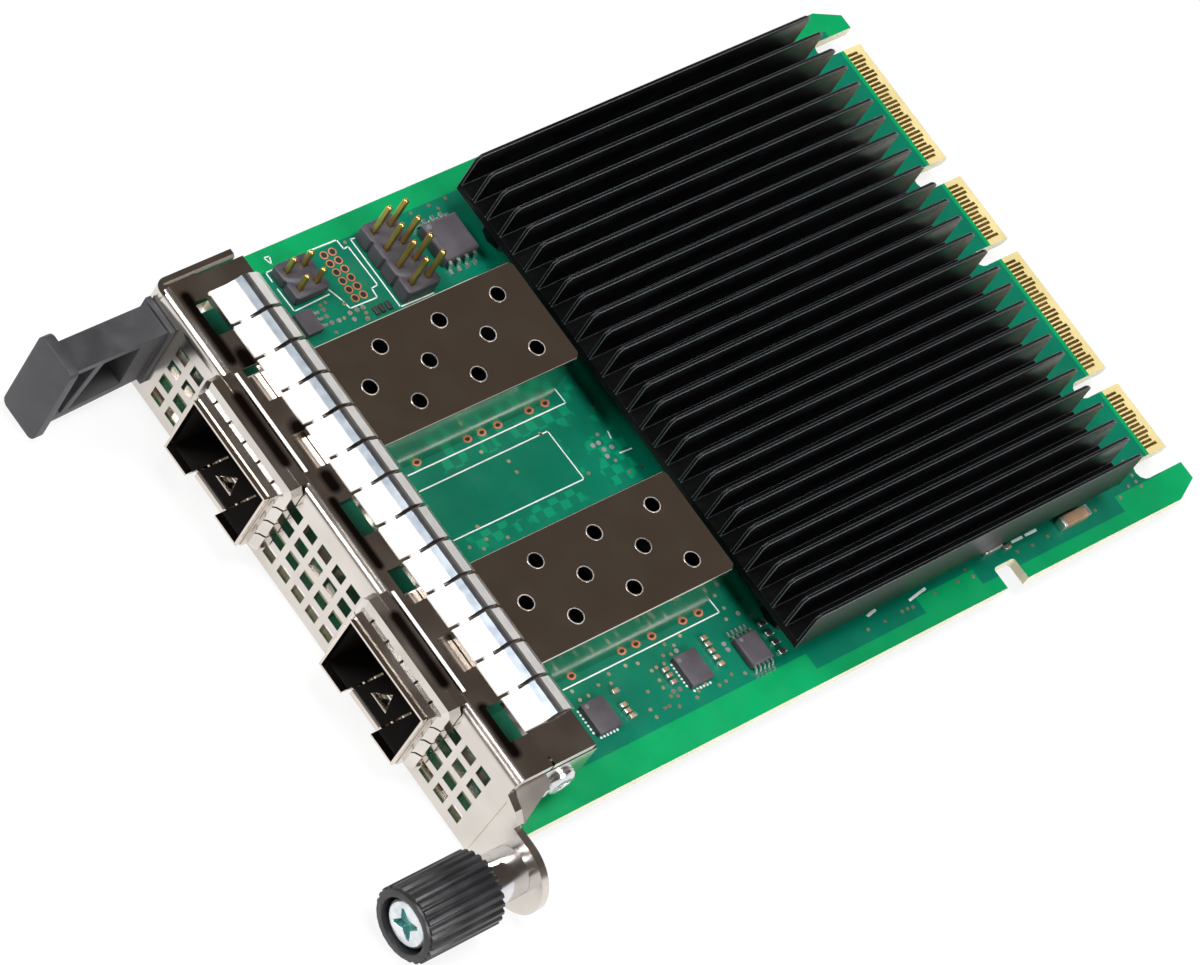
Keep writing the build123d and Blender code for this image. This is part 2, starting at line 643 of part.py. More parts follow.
# Faceplate bracket: face, top flange, side walls, thumbscrew ear and the feet under the board
def bracket():
    half_sheet = SHEET / 2
    fold = FilletPolyline(
        (FACE_Y + half_sheet, FACE_BOTTOM),
        (FACE_Y + half_sheet, FLANGE_TOP - half_sheet),
        (FLANGE_REAR, FLANGE_TOP - half_sheet),
        radius=BEND_RADIUS,
    )
    sheet = prism_x(trace(fold, line_width=SHEET), FACE_LEFT, FACE_RIGHT)
    relief_rear = FACE_Y + RELIEF_SETBACK + RELIEF_WIDTH
    sheet -= block(
        FACE_RIGHT - RELIEF_DEPTH, FACE_RIGHT, relief_rear - RELIEF_WIDTH, relief_rear, FLANGE_BOTTOM, FLANGE_TOP
    )
    result = fused([sheet, left_wall(), right_wall(), ear_plate(), corner_return(), *feet()])

    for x, y in foot_screw_places():
        screw_hole = Pos(x, y) * hole(FOOT_SCREW_RADIUS + FIXED_GAP)
        result -= prism_z(screw_hole, BOARD_BOTTOM - SHEET, BOARD_BOTTOM)
    notch_rear = FACE_Y + MOUTH_NOTCH_DEPTH
    for centre in PORT_CENTRES.values():
        mouth = Pos(centre + MOUTH_SHIFT, notch_rear - 2) * RectangleRounded(MOUTH_WIDTH, 4, MOUTH_CORNER)
        result -= prism_z(mouth, FLANGE_BOTTOM, FLANGE_TOP + 1)
        left = centre + MOUTH_SHIFT - MOUTH_WIDTH / 2
        result -= block(left, left + MOUTH_WIDTH, FACE_Y - 1, notch_rear, MOUTH_BOTTOM, FLANGE_BOTTOM)
    for middle, columns in VENT_GROUPS:
        for x, z in grid_places((middle, VENT_MIDDLE_Z), VENT_PITCH, columns, VENT_ROWS):
            result -= prism_y(Pos(x, z) * Rectangle(VENT_WIDTH, VENT_HEIGHT), FACE_Y, FACE_BACK)
    for index in range(WINDOW_COUNT):
        x = WINDOW_FIRST + WINDOW_WIDTH / 2 + index * WINDOW_PITCH
        window = Pos(x, FACE_Y + WINDOW_SETBACK) * Rectangle(WINDOW_WIDTH, WINDOW_LENGTH)
        result -= prism_z(window, FLANGE_BOTTOM, FLANGE_TOP)
    for z in TAB_SCREW_PLACES:
        result -= prism_y(Pos(tab_middle(), z) * hole(TAB_SCREW_RADIUS + FIXED_GAP), FACE_Y, FACE_BACK)
    return result


# Left wall: bent back from the face's edge, with a slit between it and the flange
def left_wall():
    half_sheet = SHEET / 2
    inner = FACE_LEFT - LEFT_WALL_GAP
    rear = FACE_Y + LEFT_WALL_DEPTH
    bend = FilletPolyline(
        (FACE_LEFT + half_sheet, FACE_Y + half_sheet),
        (inner - half_sheet, FACE_Y + half_sheet),
        (inner - half_sheet, rear),
        radius=BEND_RADIUS,
    )
    wall = prism_z(trace(bend, line_width=SHEET), FACE_BOTTOM, LEFT_WALL_TOP)
    edge = outline(
        (inner, LEFT_WALL_TOP - LEFT_WALL_EDGE),
        (inner, LEFT_WALL_TOP),
        (inner - LEFT_WALL_EDGE, LEFT_WALL_TOP),
    )
    wall -= prism_y(edge, FACE_BACK, rear)
    slit_front = FACE_Y + RELIEF_SETBACK
    return wall + block(inner, FACE_LEFT, FACE_BACK, slit_front, FLANGE_BOTTOM, FLANGE_BOTTOM + half_sheet)


# Right wall: bent down from the flange's edge, with a rounded lower corner and a window
def right_wall():
    rear = FACE_Y + RIGHT_WALL_DEPTH
    side = rect(FACE_Y + SHEET / 2, rear, RIGHT_WALL_BOTTOM, FLANGE_BOTTOM - SHEET / 2)
    low_rear = side.vertices().sort_by(Axis.Y)[:2].sort_by(Axis.X)[-1]
    side = fillet(low_rear, RIGHT_WALL_CORNER)
    window = RectangleRounded(*RIGHT_WALL_WINDOW_SIZE, RIGHT_WALL_WINDOW_CORNER)
    side -= Pos(FACE_Y + RIGHT_WALL_WINDOW_SETBACK, RIGHT_WALL_WINDOW_Z) * window
    side -= Pos(SIDE_SCREW_Y, SIDE_SCREW_Z) * hole(SIDE_SCREW_RADIUS + FIXED_GAP)
    return prism_x(side, FACE_RIGHT - SHEET, FACE_RIGHT)


def ear_plate():
    ear = outline(
        (FACE_RIGHT - SHEET, FACE_BOTTOM),
        (SCREW_X, EAR_CENTRE_Z - EAR_RADIUS),
        (SCREW_X, EAR_CENTRE_Z + EAR_RADIUS),
        *((FACE_RIGHT + right, z) for right, z in EAR_SHOULDER),
        (FACE_RIGHT - SHEET, EAR_SHOULDER[-1][1]),
    )
    ear += Pos(SCREW_X, EAR_CENTRE_Z) * Circle(EAR_RADIUS)
    ear -= Pos(SCREW_X, SCREW_Z) * Circle(BARREL_NECK_RADIUS + FIXED_GAP)
    return prism_y(ear, FACE_Y, FACE_BACK)


def feet():
    front, rear = FACE_Y + SHEET / 2, FACE_BACK + FOOT_LENGTH
    for left in (-FOOT_INNER - FOOT_WIDTH, FOOT_INNER):
        yield block(left, left + FOOT_WIDTH, front, rear, BOARD_BOTTOM - SHEET, BOARD_BOTTOM)


# Slanted return at the face's upper right corner, folded back from the ear
def corner_return():
    slope = outline(*((FACE_RIGHT + right, z) for right, z in RETURN_SECTION))
    rear = FACE_BACK + RETURN_LENGTH
    tip = FACE_RIGHT + max(right for right, z in RETURN_SECTION)
    cut = outline(
        (tip, FACE_BACK), (tip, rear), (tip - RETURN_CUT_WIDTH, rear), (tip - RETURN_CUT_WIDTH, rear - RETURN_CUT_REST)
    )
    return prism_y(slope, FACE_BACK, rear) - prism_z(cut, 0, FLANGE_TOP)


def bracket_screws():
    head_height, head_radius = FOOT_SCREW_RADIUS, 1.8 * FOOT_SCREW_RADIUS
    screws = []
    for x, y in foot_screw_places():
        head = prism_z(Pos(x, y) * rod(head_radius), 0, head_height)
        screws.append(head + prism_z(Pos(x, y) * rod(FOOT_SCREW_RADIUS), BOARD_BOTTOM - SHEET, 0))
    return group(screws)


def side_screw():
    place = Pos(SIDE_SCREW_Y, SIDE_SCREW_Z)
    inner, head_top = FACE_RIGHT - SHEET - SIDE_NUT_HEIGHT, FACE_RIGHT + SIDE_SCREW_HEAD_HEIGHT
    shank = prism_x(place * rod(SIDE_SCREW_RADIUS), inner, FACE_RIGHT)
    head = prism_x(place * rod(SIDE_SCREW_HEAD_RADIUS, HEAD_SIDES), FACE_RIGHT, head_top)
    rim = head.faces().sort_by(Axis.X)[-1].edges()
    screw = shank + chamfer(rim, SIDE_SCREW_HEAD_HEIGHT / 2)
    cross = place * (Rectangle(SIDE_CROSS_SPAN, SIDE_CROSS_WIDTH) + Rectangle(SIDE_CROSS_WIDTH, SIDE_CROSS_SPAN))
    return screw - prism_x(cross, head_top - SIDE_SCREW_HEAD_HEIGHT / 2, head_top)


def side_screw_nut():
    place = Pos(SIDE_SCREW_Y, SIDE_SCREW_Z)
    hexagon = place * RegularPolygon(SIDE_NUT_SIZE / 2, 6, major_radius=False)
    hexagon -= place * hole(SIDE_SCREW_RADIUS + FIXED_GAP)
    inner = FACE_RIGHT - SHEET
    return prism_x(hexagon, inner - SIDE_NUT_HEIGHT, inner)


# Sprung gasket strip: a thin humped band, slit into fingers from both edges
def gasket_strip():
    middle = [(FACE_Y + back, FLANGE_TOP + height) for back, height in GASKET_SECTION]
    low = [(y, z - GASKET_THICK / 2) for y, z in middle]
    high = [(y, z + GASKET_THICK / 2) for y, z in middle]
    strip = prism_x(outline(*low, *reversed(high)), GASKET_LEFT, GASKET_RIGHT)
    pitch = (GASKET_RIGHT - GASKET_LEFT) / GASKET_FINGERS
    front, rear = middle[0][0] - 1, middle[-1][0] + 1
    bridge_front, bridge_rear = (FACE_Y + back for back in GASKET_BRIDGE)
    for index in range(1, GASKET_FINGERS):
        x = GASKET_LEFT + index * pitch
        x0, x1 = x - GASKET_SLIT / 2, x + GASKET_SLIT / 2
        strip -= block(x0, x1, front, bridge_front, FLANGE_BOTTOM, FLANGE_TOP + 3)
        strip -= block(x0, x1, bridge_rear, rear, FLANGE_BOTTOM, FLANGE_TOP + 3)
    return strip


def tab_middle():
    return (TAB_LEFT + TAB_RIGHT) / 2


# Pull tab: base against the face, an arm hollow on its right side, and a finger plate
def pull_tab():
    base_front = FACE_Y - TAB_BASE_THICK
    arm_front = FACE_Y - TAB_LENGTH
    side = outline(
        (base_front, TAB_BOTTOM), (base_front, TAB_TOP), (arm_front, TAB_TOP), (arm_front, TAB_BOTTOM_FRONT)
    )
    boss_front = base_front - TAB_BOSS_LENGTH
    hollow = outline(
        (boss_front, TAB_BOTTOM + TAB_WALL),
        (boss_front, TAB_TOP - TAB_WALL),
        (arm_front, TAB_TOP - TAB_WALL),
        (arm_front, TAB_BOTTOM_FRONT + TAB_WALL),
    )
    rib_y = arm_front + TAB_RIB_SETBACK
    rib = outline(
        (rib_y, TAB_BOTTOM_FRONT),
        (rib_y - TAB_WALL, TAB_BOTTOM_FRONT),
        (rib_y + 1, TAB_TOP),
        (rib_y + 1 + TAB_WALL, TAB_TOP),
    )
    hollow -= rib
    arm = prism_x(side, TAB_LEFT, TAB_RIGHT) - prism_x(hollow, TAB_LEFT + TAB_WALL, TAB_RIGHT)
    base = block(
        TAB_LEFT - TAB_BASE_MARGIN,
        TAB_RIGHT + TAB_BASE_MARGIN,
        base_front,
        FACE_Y,
        TAB_BOTTOM - TAB_BASE_MARGIN,
        TAB_TOP + TAB_BASE_MARGIN,
    )
    plate = rect(TAB_PLATE_LEFT, TAB_PLATE_RIGHT, TAB_PLATE_BOTTOM, TAB_PLATE_TOP)
    plate = fillet(plate.vertices(), TAB_PLATE_CORNER)
    grip = prism_y(plate, arm_front - TAB_PLATE_THICK, arm_front)
    tab = fused([arm, base, grip])
    hole_end = FACE_Y - TAB_SCREW_LENGTH
    for z in TAB_SCREW_PLACES:
        screw_hole = Pos(tab_middle(), z) * hole(TAB_SCREW_RADIUS + FIXED_GAP)
        tab -= prism_y(screw_hole, hole_end - RUNNING_GAP, FACE_Y)
    return tab


def pull_tab_screws():
    screws = []
    for z in TAB_SCREW_PLACES:
        place = Pos(tab_middle(), z)
        head = prism_y(place * rod(TAB_SCREW_HEAD_RADIUS), FACE_BACK, FACE_BACK + TAB_SCREW_HEAD_HEIGHT)
        screws.append(head + prism_y(place * rod(TAB_SCREW_RADIUS), FACE_Y - TAB_SCREW_LENGTH, FACE_BACK))
    return group(screws)


# Barrel: a turned sleeve riveted into the ear, with a floor that the spring stands on
def thumbscrew_barrel():
    place = Pos(SCREW_X, SCREW_Z)
    barrel = prism_y(place * rod(BARREL_RADIUS, KNOB_SIDES), BARREL_FRONT, FACE_Y)
    barrel += prism_y(place * rod(BARREL_NECK_RADIUS, KNOB_SIDES), FACE_Y, FACE_BACK)
    barrel -= prism_y(place * hole(BARREL_BORE, KNOB_SIDES), BARREL_FRONT, BARREL_FLOOR_FRONT)
    return barrel - prism_y(place * hole(SHANK_RADIUS + RUNNING_GAP), BARREL_FLOOR_FRONT, FACE_BACK)


# Knob: a ribbed cap that slides over the barrel, with its ridges set back from the front rim
def thumbscrew_knob():
    place = Pos(SCREW_X, SCREW_Z)
    valley = KNOB_RADIUS - KNOB_RIDGE
    step = 2 * math.pi / KNOB_RIDGES
    ridges = []
    for index in range(KNOB_RIDGES):
        for part, radius in ((0, valley), (0.25, KNOB_RADIUS), (0.65, KNOB_RADIUS), (0.9, valley)):
            angle = (index + part) * step
            ridges.append((radius * math.cos(angle), radius * math.sin(angle)))
    knob = prism_y(place * outline(*ridges), KNOB_FRONT + KNOB_RIDGE, KNOB_REAR)
    knob += prism_y(place * rod(valley, KNOB_SIDES), KNOB_FRONT, KNOB_FRONT + KNOB_RIDGE)
    knob -= prism_y(place * hole(KNOB_RECESS_RADIUS, KNOB_SIDES), KNOB_FRONT, KNOB_WEB_FRONT)
    knob -= prism_y(place * hole(SHANK_RADIUS + FIXED_GAP), KNOB_WEB_FRONT, KNOB_WEB_REAR)
    return knob - prism_y(place * hole(BARREL_RADIUS + RUNNING_GAP, KNOB_SIDES), KNOB_WEB_REAR, KNOB_REAR)


# Screw with a star-shaped cross recess in its head
def thumbscrew_screw():
    head_front = KNOB_WEB_FRONT - HEAD_HEIGHT
    place = Pos(SCREW_X, SCREW_Z)
    head = prism_y(place * rod(HEAD_RADIUS, KNOB_SIDES), head_front, KNOB_WEB_FRONT)
    head = chamfer(head.faces().sort_by(Axis.Y)[0].edges(), HEAD_EDGE)
    screw = head + prism_y(place * Circle(SHANK_RADIUS), KNOB_WEB_FRONT, SHANK_TIP)
    quarter = [
        (CROSS_RADIUS, -CROSS_TIP_HALF_WIDTH),
        (CROSS_RADIUS, CROSS_TIP_HALF_WIDTH),
        (CROSS_WAIST, CROSS_WAIST),
    ]
    star = quarter + [(-y, x) for x, y in quarter]
    star += [(-x, -y) for x, y in quarter]
    star += [(y, -x) for x, y in quarter]
    recess = place * Rot(0, 0, CROSS_TURN) * outline(*star)
    return screw - prism_y(recess, head_front, head_front + CROSS_DEPTH)


# Coil spring of square wire between the barrel's floor and the knob's web
def thumbscrew_spring():
    low = KNOB_WEB_REAR + SPRING_WIRE
    height = BARREL_FLOOR_FRONT - SPRING_WIRE - low
    count = SPRING_TURNS * SPRING_STEPS
    points = []
    for index in range(count + 1):
        angle = 2 * math.pi * index / SPRING_STEPS
        points.append((SPRING_RADIUS * math.cos(angle), SPRING_RADIUS * math.sin(angle), height * index / count))
    path = Polyline(*points)
    section = Plane(origin=path @ 0, z_dir=path % 0) * Rectangle(SPRING_WIRE, SPRING_WIRE)
    coil = sweep(section, path=path, transition=Transition.RIGHT)
    return Pos(SCREW_X, low, SCREW_Z) * Rot(-90, 0, 0) * coil


# Pin headers
def header_block(place, grid, height):
    columns, rows = grid
    width, depth = columns * PIN_PITCH, rows * PIN_PITCH
    plan = Pos(*place) * Rectangle(width, depth)
    for index in range(columns + 1):
        for side in (-1, 1):
            x = place[0] - width / 2 + index * PIN_PITCH
            plan -= Pos(x, place[1] + side * depth / 2) * Rot(0, 0, 45) * Rectangle(BLOCK_NOTCH, BLOCK_NOTCH)
    for x, y in grid_places(place, PIN_PITCH, columns, rows):
        plan -= Pos(x, y) * Rectangle(PIN_SIZE + 2 * FIXED_GAP, PIN_SIZE + 2 * FIXED_GAP)
    return prism_z(plan, 0, height)


def header_pins(place, grid, tip):
    pins = []
    for x, y in grid_places(place, PIN_PITCH, *grid):
        pin = prism_z(Pos(x, y) * Rectangle(PIN_SIZE, PIN_SIZE), -PIN_BELOW, tip)
        top = pin.faces().sort_by(Axis.Z)[-1]
        pins.append(chamfer(top.edges(), PIN_POINT))
    return group(pins)


# Chip with a row of bent leads on each end
def leaded_chip(chip):
    x, y, length, width, height, count, pitch = chip
    body = block(
        x - length / 2, x + length / 2, y - width / 2, y + width / 2, CHIP_STAND_OFF, CHIP_STAND_OFF + height
    )
    top = body.faces().sort_by(Axis.Z)[-1]
    return chamfer(top.edges(), height / 6)


def bent_lead(start, reach, height, direction):
    half = LEAD_THICK / 2
    bend = Polyline(
        (start, height),
        (start + direction * reach * 0.3, height),
        (start + direction * reach * 0.5, half),
        (start + direction * reach, half),
    )
    return trace(bend, line_width=LEAD_THICK)


def chip_leads(chip):
    x, y, length, width, height, count, pitch = chip
    leads = []
    for direction in (-1, 1):
        sketch = bent_lead(x + direction * length / 2, LEAD_REACH, CHIP_STAND_OFF + height / 2, direction)
        for index in range(count):
            middle = y + (index - (count - 1) / 2) * pitch
            leads.append(prism_y(sketch, middle - pitch / 6, middle + pitch / 6))
    return group(leads)


def small_chip():
    length, width, height = SMALL_CHIP_SIZE
    x, y = SMALL_CHIP_PLACE
    return block(x - length / 2, x + length / 2, y - width / 2, y + width / 2, 0, height)


def small_chip_leads():
    length, width, height = SMALL_CHIP_SIZE
    x, y = SMALL_CHIP_PLACE
    leads = []
    for index in range(SMALL_CHIP_LEADS):
        middle = x + (index - (SMALL_CHIP_LEADS - 1) / 2) * SMALL_CHIP_LEAD_PITCH
        sketch = bent_lead(y + width / 2, LEAD_REACH, height / 2, 1)
        leads.append(prism_x(sketch, middle - 0.2, middle + 0.2))
    return group(leads)


def square_chips():
    length, width, height = SQUARE_CHIP_SIZE
    return group(
        block(x - length / 2, x + length / 2, y - width / 2, y + width / 2, 0, height)
        for x, y in SQUARE_CHIP_PLACES
    )


def flat_parts(places, height):
    return group(
        block(x - length / 2, x + length / 2, y - width / 2, y + width / 2, 0, height)
        for x, y, length, width in places
    )


def single_part(part):
    x, y, length, width, height = part
    return block(x - length / 2, x + length / 2, y - width / 2, y + width / 2, 0, height)


def all_parts():
    yield "circuit_board", circuit_board()
    yield "edge_contacts_top", edge_contacts(0)
    yield "edge_contacts_bottom", edge_contacts(BOARD_BOTTOM - PAD_THICK)
    yield "heat_sink", heat_sink()
    yield "heat_sink_screws", heat_sink_screws()
    yield "controller_chip", controller_chip()
    yield "thermal_pad", thermal_pad()
    for side, centre in PORT_CENTRES.items():
        yield "port_cage_" + side, port_cage(centre)
        yield "port_collar_" + side, port_collar(centre)
        yield "port_connector_" + side, port_connector(centre)
        yield "port_contacts_" + side, connector_contacts(centre)
    yield "bracket", bracket()
    yield "bracket_screws", bracket_screws()
    yield "side_screw", side_screw()
    yield "side_screw_nut", side_screw_nut()
    yield "gasket_strip", gasket_strip()
    yield "pull_tab", pull_tab()
    yield "pull_tab_screws", pull_tab_screws()
    yield "thumbscrew_barrel", thumbscrew_barrel()
    yield "thumbscrew_knob", thumbscrew_knob()
    yield "thumbscrew_screw", thumbscrew_screw()
    yield "thumbscrew_spring", thumbscrew_spring()
    yield "four_pin_header", header_block(FOUR_PIN_PLACE, FOUR_PIN_GRID, FOUR_PIN_BLOCK)
    yield "four_pin_header_pins", header_pins(FOUR_PIN_PLACE, FOUR_PIN_GRID, FOUR_PIN_TIP)
    yield "eight_pin_header", header_block(EIGHT_PIN_PLACE, EIGHT_PIN_GRID, EIGHT_PIN_BLOCK)
    yield "eight_pin_header_pins", header_pins(EIGHT_PIN_PLACE, EIGHT_PIN_GRID, EIGHT_PIN_TIP)
    yield "memory_chip", leaded_chip(MEMORY_CHIP)
    yield "memory_chip_leads", chip_leads(MEMORY_CHIP)
    yield "regulator_chip", leaded_chip(REGULATOR_CHIP)
    yield "regulator_chip_leads", chip_leads(REGULATOR_CHIP)
    yield "small_chip", small_chip()
    yield "small_chip_leads", small_chip_leads()
    yield "square_chips", square_chips()
    yield "chip_capacitors", flat_parts(CAPACITOR_PLACES, CAPACITOR_HEIGHT)
    yield "chip_resistors", flat_parts(RESISTOR_PLACES, RESISTOR_HEIGHT)
    yield "large_capacitor", single_part(LARGE_CAPACITOR)
    yield "tan_capacitor", single_part(TAN_CAPACITOR)


for node, shape in all_parts():
    export_step(shape, "parts/" + node + ".step")
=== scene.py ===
import bpy
import math
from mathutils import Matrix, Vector


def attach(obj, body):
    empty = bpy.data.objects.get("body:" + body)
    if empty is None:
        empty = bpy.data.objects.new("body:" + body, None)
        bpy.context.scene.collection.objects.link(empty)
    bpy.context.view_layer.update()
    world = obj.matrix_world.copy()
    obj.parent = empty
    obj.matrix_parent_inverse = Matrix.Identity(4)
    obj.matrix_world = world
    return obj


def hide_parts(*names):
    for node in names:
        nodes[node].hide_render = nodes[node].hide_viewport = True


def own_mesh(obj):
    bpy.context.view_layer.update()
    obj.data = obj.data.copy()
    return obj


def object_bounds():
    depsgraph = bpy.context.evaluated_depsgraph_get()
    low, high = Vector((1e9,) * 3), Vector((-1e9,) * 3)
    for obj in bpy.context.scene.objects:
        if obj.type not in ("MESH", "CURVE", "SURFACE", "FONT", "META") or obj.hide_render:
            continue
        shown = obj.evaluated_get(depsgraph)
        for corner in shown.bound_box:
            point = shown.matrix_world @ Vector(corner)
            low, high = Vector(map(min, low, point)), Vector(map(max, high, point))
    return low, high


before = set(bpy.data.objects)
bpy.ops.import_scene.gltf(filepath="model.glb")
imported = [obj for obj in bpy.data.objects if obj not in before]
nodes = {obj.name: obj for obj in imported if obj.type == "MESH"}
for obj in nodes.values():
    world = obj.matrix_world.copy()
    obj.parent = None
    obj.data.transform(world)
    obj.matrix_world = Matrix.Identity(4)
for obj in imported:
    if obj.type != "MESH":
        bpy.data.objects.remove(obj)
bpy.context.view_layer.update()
MM = 0.001
BOARD_THICK = 1.57

bpy.ops.object.select_all(action="DESELECT")


# Camera at the photograph's place
def place_camera():
    camera = bpy.data.cameras.new("card camera")
    camera.sensor_width = 36
    camera.sensor_fit = "HORIZONTAL"
    camera.lens = 200.38
    camera.clip_end = 10
    holder = bpy.data.objects.new("card camera", camera)
    holder.location = (0.19237, -0.52772, 0.58519)
    holder.rotation_euler = [math.radians(angle) for angle in (34.211, -22.510, 51.687)]
    bpy.context.scene.collection.objects.link(holder)
    bpy.context.scene.camera = holder


# Small helpers that lay out shader nodes
def put(tree, kind, settings=None, inputs=None):
    node = tree.nodes.new("ShaderNode" + kind)
    for name, value in (settings or {}).items():
        setattr(node, name, value)
    for name, value in (inputs or {}).items():
        socket = node.inputs[name]
        if isinstance(value, bpy.types.NodeSocket):
            tree.links.new(value, socket)
        else:
            socket.default_value = value
    return node


def maths(tree, operation, a, b=0.0, c=0.0):
    return put(tree, "Math", {"operation": operation}, {0: a, 1: b, 2: c}).outputs[0]


def mixed(tree, factor, a, b):
    node = put(tree, "Mix", {"data_type": "RGBA"}, {0: factor, 6: a, 7: b})
    return node.outputs[2]


def lifted(tree, value, low, high, out_low=0.0, out_high=1.0):
    node = put(
        tree, "MapRange", {"clamp": True}, {0: value, 1: low, 2: high, 3: out_low, 4: out_high}
    )
    return node.outputs[0]


def colour(red, green, blue):
    return (red, green, blue, 1.0)


def new_group(name, inputs, outputs):
    group = bpy.data.node_groups.new(name, "ShaderNodeTree")
    for label, kind, value in inputs:
        socket = group.interface.new_socket(name=label, in_out="INPUT", socket_type="NodeSocket" + kind)
        socket.default_value = value
    for label, kind in outputs:
        group.interface.new_socket(name=label, in_out="OUTPUT", socket_type="NodeSocket" + kind)
    entry = group.nodes.new("NodeGroupInput")
    leave = group.nodes.new("NodeGroupOutput")
    return group, entry.outputs, leave.inputs


def use_group(tree, group, inputs=None):
    node = tree.nodes.new("ShaderNodeGroup")
    node.node_tree = group
    for name, value in (inputs or {}).items():
        if isinstance(value, bpy.types.NodeSocket):
            tree.links.new(value, node.inputs[name])
        else:
            node.inputs[name].default_value = value
    return node.outputs


# Soft uneven tone, as handling and light oxide leave it
def make_mottle():
    group, given, out = new_group(
        "mottle",
        [("Size mm", "Float", 5.0), ("Detail", "Float", 3.0), ("Low", "Float", 0.35), ("High", "Float", 0.65)],
        [("Mask", "Float")],
    )
    place = put(group, "TexCoord").outputs["Object"]
    scale = maths(group, "DIVIDE", 1000.0, given["Size mm"])
    noise = put(group, "TexNoise", None, {"Vector": place, "Scale": scale, "Detail": given["Detail"]})
    mask = lifted(group, noise.outputs[0], given["Low"], given["High"])
    group.links.new(mask, out["Mask"])
    return group


# Fine lines that rolling leaves along a sheet, with faint stains
def make_rolled_sheet():
    group, given, out = new_group(
        "rolled sheet",
        [("Line mm", "Float", 0.15), ("Along", "Vector", (1.0, 12.0, 1.0)), ("Stain mm", "Float", 6.0)],
        [("Lines", "Float"), ("Stain", "Float")],
    )
    place = put(group, "TexCoord").outputs["Object"]
    stretched = put(group, "VectorMath", {"operation": "DIVIDE"}, {0: place, 1: given["Along"]}).outputs[0]
    fine = maths(group, "DIVIDE", 1000.0, given["Line mm"])
    lines = put(group, "TexNoise", None, {"Vector": stretched, "Scale": fine, "Detail": 2.0})
    broad = maths(group, "DIVIDE", 1000.0, given["Stain mm"])
    stain = put(group, "TexNoise", None, {"Vector": place, "Scale": broad, "Detail": 1.0})
    group.links.new(lines.outputs[0], out["Lines"])
    group.links.new(lifted(group, stain.outputs[0], 0.35, 0.68), out["Stain"])
    return group


# Fine pitted skin of moulded or anodised surfaces
def make_fine_skin():
    group, given, out = new_group(
        "fine skin",
        [("Grain mm", "Float", 0.12), ("Wear mm", "Float", 4.0)],
        [("Grain", "Float"), ("Wear", "Float")],
    )
    place = put(group, "TexCoord").outputs["Object"]
    small = maths(group, "DIVIDE", 1000.0, given["Grain mm"])
    grain = put(group, "TexNoise", None, {"Vector": place, "Scale": small, "Detail": 3.0, "Roughness": 0.6})
    large = maths(group, "DIVIDE", 1000.0, given["Wear mm"])
    wear = put(group, "TexNoise", None, {"Vector": place, "Scale": large, "Detail": 5.0})
    group.links.new(grain.outputs[0], out["Grain"])
    group.links.new(lifted(group, wear.outputs[0], 0.4, 0.7), out["Wear"])
    return group


# One inside a rectangle on the board, zero outside it; sizes in millimetres
def make_board_area():
    group, given, out = new_group(
        "board area",
        [("X0", "Float", 0.0), ("X1", "Float", 1.0), ("Y0", "Float", 0.0), ("Y1", "Float", 1.0)],
        [("Mask", "Float")],
    )
    place = put(group, "TexCoord").outputs["Object"]
    split = put(group, "SeparateXYZ", None, {0: place}).outputs
    x, y = maths(group, "MULTIPLY", split[0], 1000.0), maths(group, "MULTIPLY", split[1], 1000.0)
    inside = maths(
        group,
        "MULTIPLY",
        maths(group, "MULTIPLY", maths(group, "GREATER_THAN", x, given["X0"]),
              maths(group, "LESS_THAN", x, given["X1"])),
        maths(group, "MULTIPLY", maths(group, "GREATER_THAN", y, given["Y0"]),
              maths(group, "LESS_THAN", y, given["Y1"])),
    )
    group.links.new(inside, out["Mask"])
    return group


mottle = make_mottle()
rolled_sheet = make_rolled_sheet()
fine_skin = make_fine_skin()
board_area = make_board_area()


def new_material(name):
    material = bpy.data.materials.new(name)
    material.use_nodes = True
    tree = material.node_tree
    return material, tree, tree.nodes["Principled BSDF"]


def join(tree, source, shader, name):
    tree.links.new(source, shader.inputs[name])


def raise_surface(tree, shader, height, strength, distance_mm):
    bump = put(tree, "Bump", None, {"Height": height, "Strength": strength, "Distance": distance_mm * MM})
    join(tree, bump.outputs[0], shader, "Normal")


